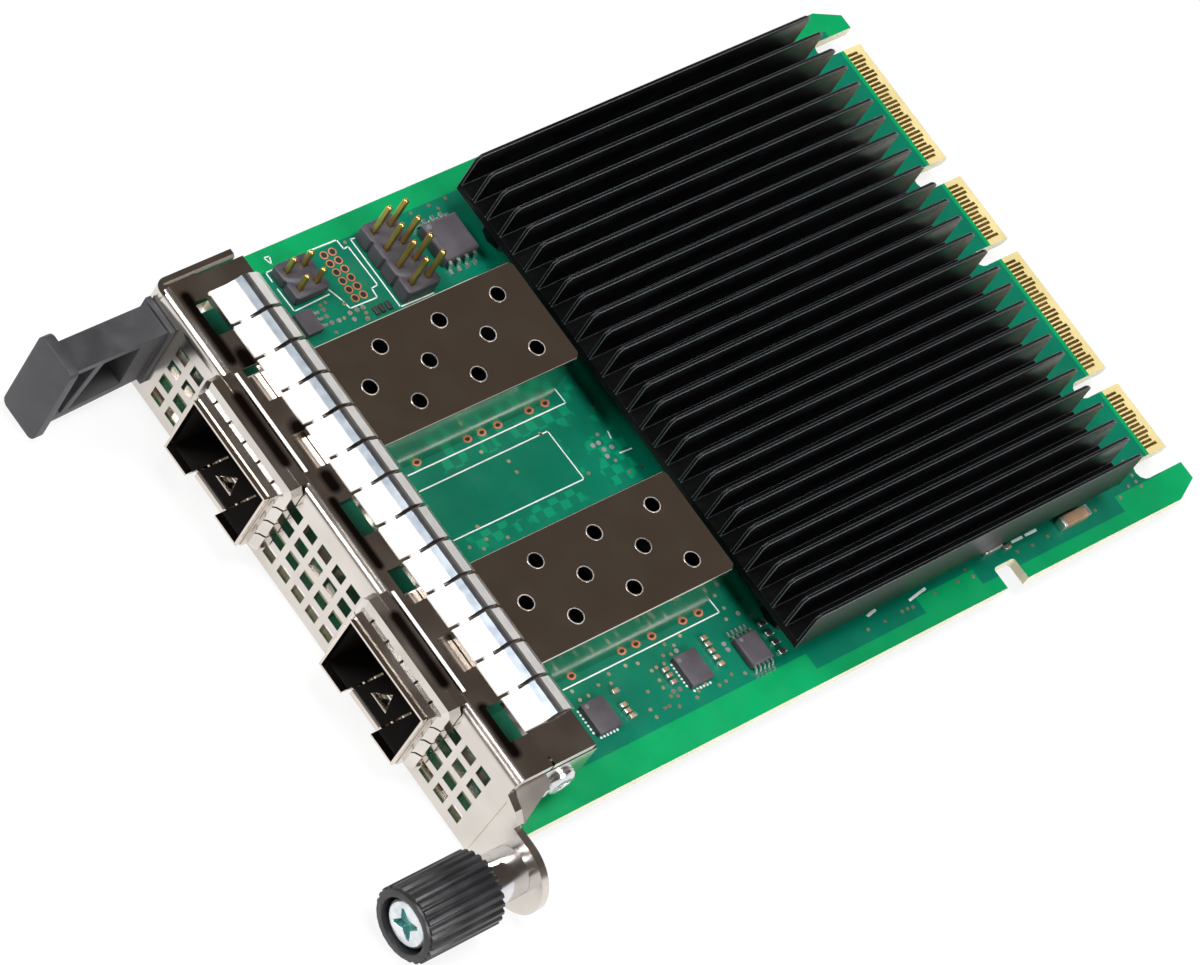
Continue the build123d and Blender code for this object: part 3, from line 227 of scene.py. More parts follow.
# Solder mask over copper, with a bright rim, bare laminate edges and a bare card edge
def board_finish():
    material, tree, shader = new_material("green solder mask")
    place = put(tree, "TexCoord").outputs
    split = put(tree, "SeparateXYZ", None, {0: place["Object"]}).outputs
    facing = put(tree, "SeparateXYZ", None, {0: place["Normal"]}).outputs
    inner = 0.0
    for x0, x1, y0, y1 in ((-35.2, 34.0, -120.0, -0.9), (30.0, 36.2, -61.0, -43.0), (30.0, 36.2, -33.5, -9.0)):
        part = use_group(tree, board_area, {"X0": x0, "X1": x1, "Y0": y0, "Y1": y1})["Mask"]
        inner = maths(tree, "MAXIMUM", inner, part)
    tone = use_group(tree, mottle, {"Size mm": 7.0, "Detail": 4.0, "Low": 0.38, "High": 0.62})["Mask"]
    copper = mixed(tree, tone, colour(0.0, 0.135, 0.078), colour(0.0, 0.165, 0.095))
    bright = mixed(tree, tone, colour(0.0, 0.262, 0.085), colour(0.0, 0.295, 0.098))
    green = mixed(tree, inner, bright, copper)
    sunk = put(tree, "VectorMath", {"operation": "ADD"}, {0: place["Object"], 1: (0.0004, 0.0002, 0.0005)}).outputs[0]
    tiles = put(
        tree, "TexChecker", None, {0: sunk, 1: colour(0, 0, 0), 2: colour(1, 1, 1), 3: 1000.0 / 1.3}
    ).outputs[1]
    tiled = use_group(tree, board_area, {"X0": -9.4, "X1": 6.0, "Y0": -90.8, "Y1": -63.8})["Mask"]
    label = use_group(tree, board_area, {"X0": -4.0, "X1": 4.0, "Y0": -92.3, "Y1": -71.8})["Mask"]
    tiles = maths(tree, "MULTIPLY", tiles, maths(tree, "SUBTRACT", tiled, label))
    gaps = use_group(tree, mottle, {"Size mm": 3.0, "Detail": 0.0, "Low": 0.46, "High": 0.52})["Mask"]
    lines = maths(tree, "MULTIPLY", maths(tree, "MULTIPLY", tiles, gaps), 0.40)
    green = mixed(tree, lines, green, colour(0.0, 0.36, 0.165))
    tongue = maths(tree, "GREATER_THAN", split[1], -0.00038)
    ears = use_group(tree, board_area, {"X0": -32.0, "X1": 31.3, "Y0": -0.4, "Y1": 4.0})["Mask"]
    bare = maths(tree, "MULTIPLY", tongue, ears)
    laminate = mixed(tree, tone, colour(0.62, 0.52, 0.24), colour(0.72, 0.60, 0.30))
    skin = mixed(tree, bare, green, laminate)
    side = maths(tree, "LESS_THAN", maths(tree, "ABSOLUTE", facing[2]), 0.5)
    edge = mixed(tree, tone, colour(0.60, 0.58, 0.40), colour(0.70, 0.66, 0.48))
    join(tree, mixed(tree, side, skin, edge), shader, "Base Color")
    weave = use_group(tree, fine_skin, {"Grain mm": 0.5, "Wear mm": 3.0})
    join(tree, lifted(tree, weave["Wear"], 0.0, 1.0, 0.28, 0.36), shader, "Roughness")
    raise_surface(tree, shader, weave["Grain"], 0.08, 0.02)
    return material


def metal_finish(name, light, dark, low, high, along, line_mm=0.15, strength=0.05):
    material, tree, shader = new_material(name)
    sheet = use_group(tree, rolled_sheet, {"Line mm": line_mm, "Along": along, "Stain mm": 5.0})
    join(tree, mixed(tree, sheet["Stain"], colour(*light), colour(*dark)), shader, "Base Color")
    shader.inputs["Metallic"].default_value = 1.0
    join(tree, lifted(tree, sheet["Stain"], 0.0, 1.0, low, high), shader, "Roughness")
    raise_surface(tree, shader, sheet["Lines"], strength, 0.02)
    return material


def plastic_finish(name, light, dark, low, high, grain_mm, strength):
    material, tree, shader = new_material(name)
    skin = use_group(tree, fine_skin, {"Grain mm": grain_mm, "Wear mm": 3.0})
    join(tree, mixed(tree, skin["Wear"], colour(*dark), colour(*light)), shader, "Base Color")
    join(tree, lifted(tree, skin["Wear"], 0.0, 1.0, low, high), shader, "Roughness")
    raise_surface(tree, shader, skin["Grain"], strength, 0.03)
    return material


# Folded cage sheet, dark on its inner faces where little light comes in
def cage_finish():
    material, tree, shader = new_material("cage sheet")
    sheet = use_group(tree, rolled_sheet, {"Line mm": 0.15, "Along": (1.0, 12.0, 1.0), "Stain mm": 5.0})
    place = put(tree, "TexCoord").outputs["Object"]
    height = maths(tree, "MULTIPLY", put(tree, "SeparateXYZ", None, {0: place}).outputs[2], 1000.0)
    left = use_group(tree, board_area, {"X0": -20.75, "X1": -6.85, "Y0": -116.2, "Y1": -69.6})["Mask"]
    right = use_group(tree, board_area, {"X0": 9.92, "X1": 23.82, "Y0": -116.2, "Y1": -69.6})["Mask"]
    low = maths(tree, "MULTIPLY", maths(tree, "GREATER_THAN", height, 0.1), maths(tree, "LESS_THAN", height, 9.6))
    inner = maths(tree, "MULTIPLY", maths(tree, "MAXIMUM", left, right), low)
    skin = mixed(tree, sheet["Stain"], colour(0.76, 0.69, 0.62), colour(0.70, 0.63, 0.56))
    join(tree, mixed(tree, inner, skin, colour(0.10, 0.09, 0.085)), shader, "Base Color")
    shader.inputs["Metallic"].default_value = 1.0
    rough = lifted(tree, sheet["Stain"], 0.0, 1.0, 0.13, 0.18)
    join(tree, maths(tree, "MAXIMUM", rough, maths(tree, "MULTIPLY", inner, 0.5)), shader, "Roughness")
    raise_surface(tree, shader, sheet["Lines"], 0.012, 0.02)
    return material


# Painted dark reflections of the room on a bright top face: segments as X range, Y and half width
def painted_dark_reflections(tree, segments):
    place = put(tree, "TexCoord").outputs["Object"]
    split = put(tree, "SeparateXYZ", None, {0: place}).outputs
    x, y = maths(tree, "MULTIPLY", split[0], 1000.0), maths(tree, "MULTIPLY", split[1], 1000.0)
    shade = 0.0
    for x0, x1, middle, half in segments:
        nearest = maths(tree, "MINIMUM", maths(tree, "MAXIMUM", x, x0), x1)
        across = maths(tree, "SUBTRACT", x, nearest)
        back = maths(tree, "SUBTRACT", y, middle)
        away = maths(tree, "SQRT", maths(tree, "ADD", maths(tree, "MULTIPLY", across, across),
                                         maths(tree, "MULTIPLY", back, back)))
        shade = maths(tree, "MAXIMUM", shade, lifted(tree, away, half * 0.55, half * 1.35, 1.0, 0.0))
    high = maths(tree, "GREATER_THAN", split[2], 0.01083)
    return maths(tree, "MULTIPLY", shade, high)


# Bright sheet whose top face carries painted dark reflections
def sheet_with_painted_reflections(name, light, dark, along, segments):
    material, tree, shader = new_material(name)
    sheet = use_group(tree, rolled_sheet, {"Line mm": 0.15, "Along": along, "Stain mm": 5.0})
    skin = mixed(tree, sheet["Stain"], colour(*light), colour(*dark))
    shade = painted_dark_reflections(tree, segments)
    # The near-black colour is the painted reflection, laid over the sheet's own tone
    join(tree, mixed(tree, shade, skin, colour(0.05, 0.04, 0.035)), shader, "Base Color")
    shader.inputs["Metallic"].default_value = 1.0
    join(tree, lifted(tree, sheet["Stain"], 0.0, 1.0, 0.15, 0.22), shader, "Roughness")
    raise_surface(tree, shader, sheet["Lines"], 0.02, 0.02)
    return material


# Sprung strip: pale flat front and bluish crest are painted reflections, bright metal behind it
def gasket_finish():
    material, tree, shader = new_material("tinned spring strip")
    place = put(tree, "TexCoord").outputs["Object"]
    back = maths(tree, "MULTIPLY", put(tree, "SeparateXYZ", None, {0: place}).outputs[1], 1000.0)
    sheet = use_group(tree, rolled_sheet, {"Line mm": 0.2, "Along": (12.0, 1.0, 1.0), "Stain mm": 1.6})
    # Painted reflections: the front is painted near white for the bright floor it faces, the crest bluish
    front = lifted(tree, back, -104.45, -104.15, 1.0, 0.0)
    painted_crest_reflection = maths(tree, "MULTIPLY", lifted(tree, back, -104.35, -104.0), lifted(tree, back, -102.8, -102.6, 1.0, 0.0))
    metal = mixed(tree, sheet["Stain"], colour(0.90, 0.88, 0.85), colour(0.80, 0.79, 0.78))
    metal = mixed(tree, painted_crest_reflection, metal, mixed(tree, sheet["Stain"], colour(0.50, 0.56, 0.62), colour(0.34, 0.39, 0.46)))
    join(tree, mixed(tree, front, metal, colour(0.93, 0.93, 0.93)), shader, "Base Color")
    join(tree, lifted(tree, front, 0.0, 1.0, 1.0, 0.15), shader, "Metallic")
    join(tree, lifted(tree, front, 0.0, 1.0, 0.30, 0.5), shader, "Roughness")
    raise_surface(tree, shader, sheet["Lines"], 0.04, 0.02)
    return material


# Black anodised fins whose bevelled edges get a thin pale line painted as a highlight
def sink_finish():
    material, tree, shader = new_material("black anodised")
    normal = put(tree, "NewGeometry").outputs["True Normal"]
    across = maths(tree, "ABSOLUTE", put(tree, "SeparateXYZ", None, {0: normal}).outputs[0])
    # Bevel faces, picked out by their slanted normals, get a painted highlight
    edge = maths(tree, "MULTIPLY", maths(tree, "GREATER_THAN", across, 0.3), maths(tree, "LESS_THAN", across, 0.94))
    skin = use_group(tree, fine_skin, {"Grain mm": 0.15, "Wear mm": 4.0})
    black = mixed(tree, skin["Wear"], colour(0.0025, 0.0025, 0.003), colour(0.005, 0.005, 0.006))
    join(tree, mixed(tree, edge, black, colour(0.072, 0.084, 0.087)), shader, "Base Color")
    join(tree, lifted(tree, skin["Wear"], 0.0, 1.0, 0.32, 0.40), shader, "Roughness")
    shader.inputs["Specular IOR Level"].default_value = 0.16
    raise_surface(tree, shader, skin["Grain"], 0.08, 0.02)
    return material


# Zinc screw whose recess keeps a greenish tint
def recess_finish():
    material, tree, shader = new_material("zinc screw")
    place = put(tree, "TexCoord").outputs["Object"]
    off = put(tree, "VectorMath", {"operation": "SUBTRACT"}, {0: place, 1: (0.04095, 0.0, 0.00085)}).outputs[0]
    flat = put(tree, "VectorMath", {"operation": "MULTIPLY"}, {0: off, 1: (1, 0, 1)}).outputs[0]
    away = put(tree, "VectorMath", {"operation": "LENGTH"}, {0: flat}).outputs[1]
    back = put(tree, "SeparateXYZ", None, {0: place}).outputs[1]
    sunk = maths(tree, "MULTIPLY", maths(tree, "LESS_THAN", away, 0.0021), maths(tree, "GREATER_THAN", back, -0.12842))
    tone = use_group(tree, mottle, {"Size mm": 1.5})["Mask"]
    skin = mixed(tree, tone, colour(0.80, 0.83, 0.85), colour(0.66, 0.69, 0.72))
    join(tree, mixed(tree, sunk, skin, colour(0.28, 0.56, 0.54)), shader, "Base Color")
    shader.inputs["Metallic"].default_value = 0.9
    join(tree, lifted(tree, tone, 0.0, 1.0, 0.22, 0.34), shader, "Roughness")
    return material


# Small ceramic parts with tinned ends: rows as X range, middle in Y, half length of the bare body
CHIP_ROWS = (
    (26.4, 31.4, -71.95, 0.26), (27.9, 30.6, -79.0, 0.27), (27.5, 31.9, -86.65, 0.26), (33.2, 34.0, -27.4, 0.27),
    (28.0, 33.0, -63.7, 0.33), (33.4, 35.0, -16.8, 1.85), (31.3, 33.5, -29.6, 1.1),
)


def chip_finish(name, light, dark):
    material, tree, shader = new_material(name)
    place = put(tree, "TexCoord").outputs["Object"]
    along = maths(tree, "MULTIPLY", put(tree, "SeparateXYZ", None, {0: place}).outputs[1], 1000.0)
    ends = 0.0
    for x0, x1, middle, half in CHIP_ROWS:
        row = use_group(tree, board_area, {"X0": x0, "X1": x1, "Y0": middle - 3, "Y1": middle + 3})["Mask"]
        off = maths(tree, "ABSOLUTE", maths(tree, "SUBTRACT", along, middle))
        ends = maths(tree, "MAXIMUM", ends, maths(tree, "MULTIPLY", row, maths(tree, "GREATER_THAN", off, half)))
    skin = use_group(tree, fine_skin, {"Grain mm": 0.1, "Wear mm": 1.5})
    body = mixed(tree, skin["Wear"], colour(*dark), colour(*light))
    join(tree, mixed(tree, ends, body, colour(0.80, 0.80, 0.80)), shader, "Base Color")
    join(tree, ends, shader, "Metallic")
    join(tree, lifted(tree, skin["Wear"], 0.0, 1.0, 0.32, 0.45), shader, "Roughness")
    raise_surface(tree, shader, skin["Grain"], 0.15, 0.02)
    return material


# Moulded lid of a chip with a moulded dot near one corner and faint bare print places
def package_finish(name, dots):
    material, tree, shader = new_material(name)
    place = put(tree, "TexCoord").outputs["Object"]
    skin = use_group(tree, fine_skin, {"Grain mm": 0.1, "Wear mm": 3.0})
    body = mixed(tree, skin["Wear"], colour(0.060, 0.052, 0.062), colour(0.085, 0.075, 0.090))
    mark = 0.0
    for x, y, radius in dots:
        off = put(tree, "VectorMath", {"operation": "SUBTRACT"}, {0: place, 1: (x * MM, y * MM, 0)}).outputs[0]
        flat = put(tree, "VectorMath", {"operation": "MULTIPLY"}, {0: off, 1: (1, 1, 0)}).outputs[0]
        away = put(tree, "VectorMath", {"operation": "LENGTH"}, {0: flat}).outputs[1]
        mark = maths(tree, "MAXIMUM", mark, maths(tree, "LESS_THAN", away, radius * MM))
    join(tree, mixed(tree, mark, body, colour(0.16, 0.15, 0.17)), shader, "Base Color")
    join(tree, lifted(tree, skin["Wear"], 0.0, 1.0, 0.48, 0.60), shader, "Roughness")
    raise_surface(tree, shader, skin["Grain"], 0.30, 0.03)
    return material


board_green = board_finish()
# Bracket sheet with dark room reflections painted as soft blotches on its top flange
bright_sheet = sheet_with_painted_reflections(
    "bright folded sheet", (0.74, 0.69, 0.64), (0.68, 0.63, 0.58), (12.0, 1.0, 1.0),
    (
        (-32.0, -23.0, -110.6, 0.75), (-23.0, -21.0, -108.9, 1.1), (-12.5, -11.5, -108.6, 1.2),
        (-6.0, -4.5, -109.3, 0.9), (-3.0, 6.0, -110.6, 0.6), (8.5, 9.5, -108.8, 1.1), (18.0, 19.5, -108.6, 1.3),
        (26.0, 32.0, -110.5, 0.8),
    ),
)
cage_sheet = cage_finish()
spring_sheet = metal_finish(
    "tinned spring sheet", (0.86, 0.86, 0.86), (0.78, 0.78, 0.79), 0.34, 0.46, (12.0, 1.0, 1.0)
)
# Collar sheet with a dark reflection band painted along each collar's top
collar_sheet = sheet_with_painted_reflections(
    "collar spring sheet", (0.78, 0.73, 0.68), (0.70, 0.65, 0.60), (1.0, 1.0, 12.0),
    ((-18.6, -9.4, -112.95, 0.75), (12.2, 21.4, -112.95, 0.75)),
)
gasket_sheet = gasket_finish()
recessed_zinc = recess_finish()
gold_plate = metal_finish(
    "gold plate", (0.62, 0.42, 0.13), (0.50, 0.33, 0.10), 0.28, 0.40, (1.0, 6.0, 1.0)
)
tin_plate = metal_finish(
    "tin plate", (0.84, 0.84, 0.83), (0.70, 0.70, 0.70), 0.30, 0.45, (1.0, 1.0, 1.0)
)
zinc_plate = metal_finish(
    "zinc plate", (0.74, 0.76, 0.78), (0.62, 0.65, 0.66), 0.20, 0.32, (1.0, 1.0, 1.0)
)
turned_chrome = metal_finish(
    "turned chrome", (0.80, 0.80, 0.82), (0.72, 0.72, 0.74), 0.08, 0.16, (40.0, 1.0, 40.0)
)
black_anodised = sink_finish()
chip_resin = plastic_finish(
    "chip resin", (0.085, 0.075, 0.090), (0.060, 0.052, 0.062), 0.50, 0.62, 0.10, 0.30
)
header_resin = plastic_finish(
    "header resin", (0.070, 0.066, 0.082), (0.050, 0.048, 0.060), 0.45, 0.58, 0.20, 0.20
)
connector_resin = plastic_finish(
    "connector resin", (0.022, 0.022, 0.024), (0.014, 0.014, 0.016), 0.45, 0.58, 0.20, 0.20
)
tab_resin = plastic_finish(
    "tab resin", (0.046, 0.046, 0.052), (0.030, 0.030, 0.034), 0.46, 0.58, 0.25, 0.25
)
knob_resin = plastic_finish(
    "knob resin", (0.024, 0.024, 0.027), (0.013, 0.013, 0.015), 0.36, 0.48, 0.20, 0.20
)
ceramic_brown = chip_finish("brown ceramic", (0.40, 0.26, 0.16), (0.28, 0.18, 0.11))
ceramic_dark = chip_finish("dark ceramic", (0.040, 0.038, 0.040), (0.022, 0.021, 0.022))
marked_resin = package_finish(
    "marked chip resin", ((-31.6, -70.0, 0.35), (28.2, -91.4, 0.3), (28.2, -77.0, 0.3), (29.4, -68.2, 0.25))
)
silk_white = plastic_finish("printed white", (0.80, 0.86, 0.84), (0.68, 0.76, 0.74), 0.5, 0.6, 0.15, 0.1)
via_tan = metal_finish("plated via", (0.62, 0.55, 0.36), (0.50, 0.46, 0.32), 0.35, 0.5, (1.0, 1.0, 1.0))
hole_copper = plastic_finish("plated ring", (0.62, 0.24, 0.13), (0.50, 0.18, 0.09), 0.30, 0.4, 0.15, 0.1)
# Pale colours painted as highlights on the mouths' cut edges and round the cage holes
painted_cut_edge_highlight = plastic_finish("painted highlight on cut edge", (0.92, 0.90, 0.87), (0.86, 0.83, 0.80), 0.2, 0.3, 0.15, 0.05)
painted_rim_highlight = metal_finish("painted hole highlight", (0.95, 0.90, 0.86), (0.86, 0.80, 0.76), 0.35, 0.5, (1.0, 1.0, 1.0))
silicone_pad = plastic_finish(
    "silicone pad", (0.50, 0.51, 0.54), (0.42, 0.43, 0.46), 0.60, 0.75, 0.20, 0.20
)

FINISHES = {
    "circuit_board": board_green,
    "edge_contacts_top": gold_plate,
    "edge_contacts_bottom": gold_plate,
    "heat_sink": black_anodised,
    "heat_sink_screws": zinc_plate,
    "controller_chip": chip_resin,
    "thermal_pad": silicone_pad,
    "port_cage_left": cage_sheet,
    "port_cage_right": cage_sheet,
    "port_collar_left": collar_sheet,
    "port_collar_right": collar_sheet,
    "port_connector_left": connector_resin,
    "port_connector_right": connector_resin,
    "port_contacts_left": gold_plate,
    "port_contacts_right": gold_plate,
    "bracket": bright_sheet,
    "bracket_screws": zinc_plate,
    "side_screw": zinc_plate,
    "side_screw_nut": zinc_plate,
    "gasket_strip": gasket_sheet,
    "pull_tab": tab_resin,
    "pull_tab_screws": zinc_plate,
    "thumbscrew_barrel": turned_chrome,
    "thumbscrew_knob": knob_resin,
    "thumbscrew_screw": recessed_zinc,
    "thumbscrew_spring": spring_sheet,
    "four_pin_header": header_resin,
    "four_pin_header_pins": gold_plate,
    "eight_pin_header": header_resin,
    "eight_pin_header_pins": gold_plate,
    "memory_chip": marked_resin,
    "memory_chip_leads": tin_plate,
    "regulator_chip": marked_resin,
    "regulator_chip_leads": tin_plate,
    "small_chip": chip_resin,
    "small_chip_leads": tin_plate,
    "square_chips": marked_resin,
    "chip_capacitors": ceramic_brown,
    "chip_resistors": ceramic_dark,
    "large_capacitor": ceramic_brown,
    "tan_capacitor": ceramic_brown,
}
for name, finish in FINISHES.items():
    slots = nodes[name].data.materials
    slots.clear()
    slots.append(finish)


# New pieces: made in place, joined, set at the origin and tied to a body
def select_only(pieces):
    bpy.ops.object.select_all(action="DESELECT")
    for piece in pieces:
        piece.select_set(True)
    bpy.context.view_layer.objects.active = pieces[0]


def settled(name, pieces, finish, body="card"):
    select_only(pieces)
    if len(pieces) > 1:
        bpy.ops.object.join()
    bpy.ops.object.transform_apply(location=True, rotation=True, scale=True)
    piece = bpy.context.object
    piece.name = name.replace(" ", "_")
    piece.data.materials.clear()
    piece.data.materials.append(finish)
    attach(piece, body)
    return piece


def repeated(first, places):
    pieces = [first]
    for x, y in places[1:]:
        twin = first.copy()
        twin.data = first.data.copy()
        twin.location = (x * MM, y * MM, first.location.z)
        bpy.context.scene.collection.objects.link(twin)
        pieces.append(twin)
    return pieces


# Prints and platings on the board, raised by a few hundredths of a millimetre
MARK_HEIGHT = 0.03


def print_line(x0, y0, x1, y1, width=0.16):
    bpy.ops.mesh.primitive_cube_add(
        size=1,
        location=((x0 + x1) / 2 * MM, (y0 + y1) / 2 * MM, MARK_HEIGHT / 2 * MM),
        rotation=(0, 0, math.atan2(y1 - y0, x1 - x0)),
        scale=((math.hypot(x1 - x0, y1 - y0) + width) * MM, width * MM, MARK_HEIGHT * MM),
    )
    return bpy.context.object


def dots(places, radius, sides=12):
    x, y = places[0]
    bpy.ops.mesh.primitive_cylinder_add(
        vertices=sides, radius=radius * MM, depth=MARK_HEIGHT * MM, location=(x * MM, y * MM, MARK_HEIGHT / 2 * MM)
    )
    return repeated(bpy.context.object, places)


def rings(places, radius, width, sides=20, height=0.0):
    x, y = places[0]
    bpy.ops.mesh.primitive_cylinder_add(
        vertices=sides, radius=radius * MM, depth=MARK_HEIGHT * MM, end_fill_type="NOTHING",
        location=(x * MM, y * MM, (height + MARK_HEIGHT / 2) * MM),
    )
    band = bpy.context.object
    shell = band.modifiers.new("width", "SOLIDIFY")
    shell.thickness = width * MM
    bpy.ops.object.modifier_apply(modifier=shell.name)
    return repeated(band, places)


PRINT_PATHS = (
    ((-3.4, -92.1), (-3.5, -72.2), (3.6, -72.0), (3.6, -92.2)),
    ((-5.7, -92.1), (-5.7, -67.6), (-7.8, -67.7)),
    ((25.0, -92.1), (25.0, -67.6), (22.9, -67.7)),
    ((-33.8, -91.6), (-35.1, -91.6), (-35.2, -88.9)),
    ((-32.7, -91.6), (-29.4, -91.5), (-29.6, -86.1)),
    ((-34.6, -77.8), (-34.8, -78.9), (-24.7, -78.8), (-24.6, -73.7)),
    ((-35.5, -84.8), (-35.4, -80.6), (-34.0, -80.5), (-34.1, -79.8), (-28.3, -79.6), (-28.2, -80.6), (-26.9, -80.7),
     (-27.0, -84.8), (-28.2, -85.0), (-30.1, -85.7)),
    ((-36.9, -90.6), (-36.8, -89.8), (-35.8, -90.2), (-36.9, -90.6)),
    ((-0.4, -65.1), (0.5, -65.3)), ((2.6, -65.5), (2.7, -63.8)),
)
PRINT_BARS = (
    (33.25, -26.0, 33.25, -24.5), (33.25, -23.7, 33.25, -22.1), (33.3, -50.3, 33.1, -49.0), (33.9, -43.8, 33.5, -41.1),
)
PRINT_DOTS = (
    (0.4, -68.1), (0.4, -67.2), (1.4, -67.1), (2.3, -67.3), (1.5, -66.0), (28.6, -69.8), (29.4, -69.8),
    (26.8, -75.9), (26.1, -65.5), (27.0, -64.0), (31.0, -78.7), (30.9, -79.6), (-28.2, -88.0), (-27.3, -88.2),
    (-26.3, -88.1), (-26.2, -87.1), (-26.5, -85.2), (-26.5, -84.1), (-26.5, -83.2), (-25.6, -85.2), (-25.0, -83.6),
)
VIAS = (
    (21.7, -87.6), (22.2, -85.6), (21.5, -75.6), (23.0, -66.7), (24.8, -64.3), (24.8, -66.7), (26.1, -67.4),
    (25.4, -74.2), (25.5, -76.7), (26.1, -75.7), (26.9, -76.8), (26.6, -77.8), (27.5, -78.4), (27.5, -79.6),
    (27.6, -80.4), (26.1, -81.4), (25.7, -83.0), (25.7, -85.6), (26.8, -86.1), (26.3, -87.7), (26.9, -89.7),
    (26.9, -91.0), (25.6, -91.2), (29.6, -82.6), (29.0, -80.3), (30.0, -80.5), (31.3, -80.3), (31.6, -79.5),
    (32.8, -77.4), (32.2, -76.7), (31.7, -75.3), (32.6, -72.7), (32.7, -73.8), (32.2, -71.5), (32.8, -69.8),
    (32.2, -81.3), (32.2, -82.0), (32.8, -80.2), (31.6, -83.8), (32.7, -83.7), (-34.8, -64.1), (-34.8, -66.7),
    (-34.0, -65.8), (-34.8, -69.5), (-34.7, -79.8), (-28.8, -88.0), (-28.9, -87.2), (-27.8, -85.1), (-26.2, -86.3),
    (-25.0, -88.4), (-25.7, -83.3), (-8.7, -81.6), (-4.6, -81.7), (-2.2, -79.3), (-0.6, -79.3), (-3.6, -73.3),
    (3.3, -88.4), (5.1, -88.4), (6.0, -85.8), (5.1, -91.0), (6.0, -89.5), (-0.6, -66.6), (-3.7, -64.6),
    (3.2, -66.7), (3.2, -71.0), (5.2, -66.0), (5.2, -64.1), (-1.4, -92.5), (34.8, -48.7), (34.8, -51.5),
    (34.7, -45.8), (34.7, -44.9), (34.8, -44.1), (34.6, -36.4), (34.8, -34.0), (33.6, -34.4), (34.5, -40.2),
    (33.6, -6.2), (33.5, -4.8), (34.3, -4.5), (34.4, -8.3), (34.4, -12.7), (34.6, -21.1), (34.7, -23.8),
    (34.6, -26.3), (30.6, -4.5), (32.6, -4.7),
)


# Rows of holes in a cage's top: side of the middle, distance behind the first, count
HOLE_ROWS = ((-1, 0.0, 3), (0, 4.5, 3), (1, 0.0, 3))


def board_marks():
    lines = [print_line(*a, *b) for path in PRINT_PATHS for a, b in zip(path, path[1:])]
    lines += [print_line(*bar, width=0.35) for bar in PRINT_BARS]
    settled("printed lines", lines, silk_white)
    settled("tinned dots", dots(PRINT_DOTS, 0.32), tin_plate)
    settled("via pads", dots(VIAS, 0.25, 10), via_tan)
    pins = [
        (centre + side * 6.95, -69.5 - back)
        for centre in (-13.8, 16.87) for side in (-1, 1) for back in (0.6, 3.1, 8.0, 10.5, 12.7, 20.5)
    ]
    settled("plated hole rings", rings(pins, 0.66, 0.24), hole_copper)
    bare = [(-31.09 + (i - 2.5) * 1.27, -82.72 + (j - 0.5) * 1.27) for i in range(6) for j in range(2)]
    settled("plated bare rings", rings(bare, 0.54, 0.20), hole_copper)
    settled("hole shadows", dots(bare + pins, 0.40), connector_resin)
    tips = [(28.05 + 0.5 * i, y) for y in (-92.2, -77.65) for i in range(7)]
    settled("chip pad tips front", dots(tips, 0.17, 8), silk_white)
    tips = [(31.95, y + 0.5 * i) for y in (-91.7, -77.15) for i in range(6)]
    settled("chip pad tips side", dots(tips, 0.17, 8), silk_white)


# Thin strip with its edges broken
def edge_broken(piece):
    select_only([piece])
    bpy.ops.object.transform_apply(location=False, rotation=False, scale=True)
    bevel = piece.modifiers.new("edge", "BEVEL")
    bevel.width = 0.01 * MM
    bevel.segments = 2
    bpy.ops.object.modifier_apply(modifier=bevel.name)
    return piece


# Painted highlights as bright rims round the holes in the cages' tops and along the mouths' cut edges, and a painted
# shade line along the crease on the face
def sheet_details():
    holes = [
        (centre + side * 3.92, -69.5 - 4.4 - start - index * 9.0)
        for centre in (-13.8, 16.87) for side, start, count in HOLE_ROWS for index in range(count)
    ]
    # Bright rings round each hole are painted highlights
    settled("painted highlights round cage holes", rings(holes, 1.06, 0.12, 32, 9.75), painted_rim_highlight)
    # Thin tan bar painted as the shade along the face's crease
    bpy.ops.mesh.primitive_cube_add(
        size=1, location=(35.55 * MM, -112.91 * MM, 2.2 * MM), rotation=(0, math.radians(1.6), 0),
        scale=(0.1 * MM, 0.03 * MM, 10.8 * MM),
    )
    crease = edge_broken(bpy.context.object)
    settled("painted crease shade line", [crease], via_tan)
    # Pale strips along the mouths' cut edges are painted highlights
    edges = [edge_broken(print_line(c - 7.3, -111.2, c + 6.2, -111.2, 0.42)) for c in (-13.8, 16.87)]
    for edge in edges:
        edge.location.z = 10.925 * MM
    settled("painted highlights on cut edges", edges, painted_cut_edge_highlight)


# Copy of a part of the card with its sharp edges broken by a small bevel
def softened(name, width, segments, body="card", angle=35):
    source = nodes[name]
    finish = source.data.materials[0]
    piece = source.copy()
    piece.data = source.data.copy()
    piece.parent = None
    bpy.context.scene.collection.objects.link(piece)
    select_only([piece])
    bpy.ops.object.mode_set(mode="EDIT")
    bpy.ops.mesh.select_all(action="SELECT")
    bpy.ops.mesh.remove_doubles(threshold=0.000001)
    bpy.ops.mesh.dissolve_limited(angle_limit=math.radians(0.5))
    bpy.ops.object.mode_set(mode="OBJECT")
    bevel = piece.modifiers.new("edge", "BEVEL")
    bevel.width = width * MM
    bevel.segments = segments
    bevel.limit_method = "ANGLE"
    bevel.angle_limit = math.radians(angle)
    bevel.use_clamp_overlap = True
    bpy.ops.object.modifier_apply(modifier=bevel.name)
    bpy.ops.object.shade_smooth_by_angle(angle=math.radians(angle))
    settled("finished_" + name, [piece], finish, body)
    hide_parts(name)
    return piece


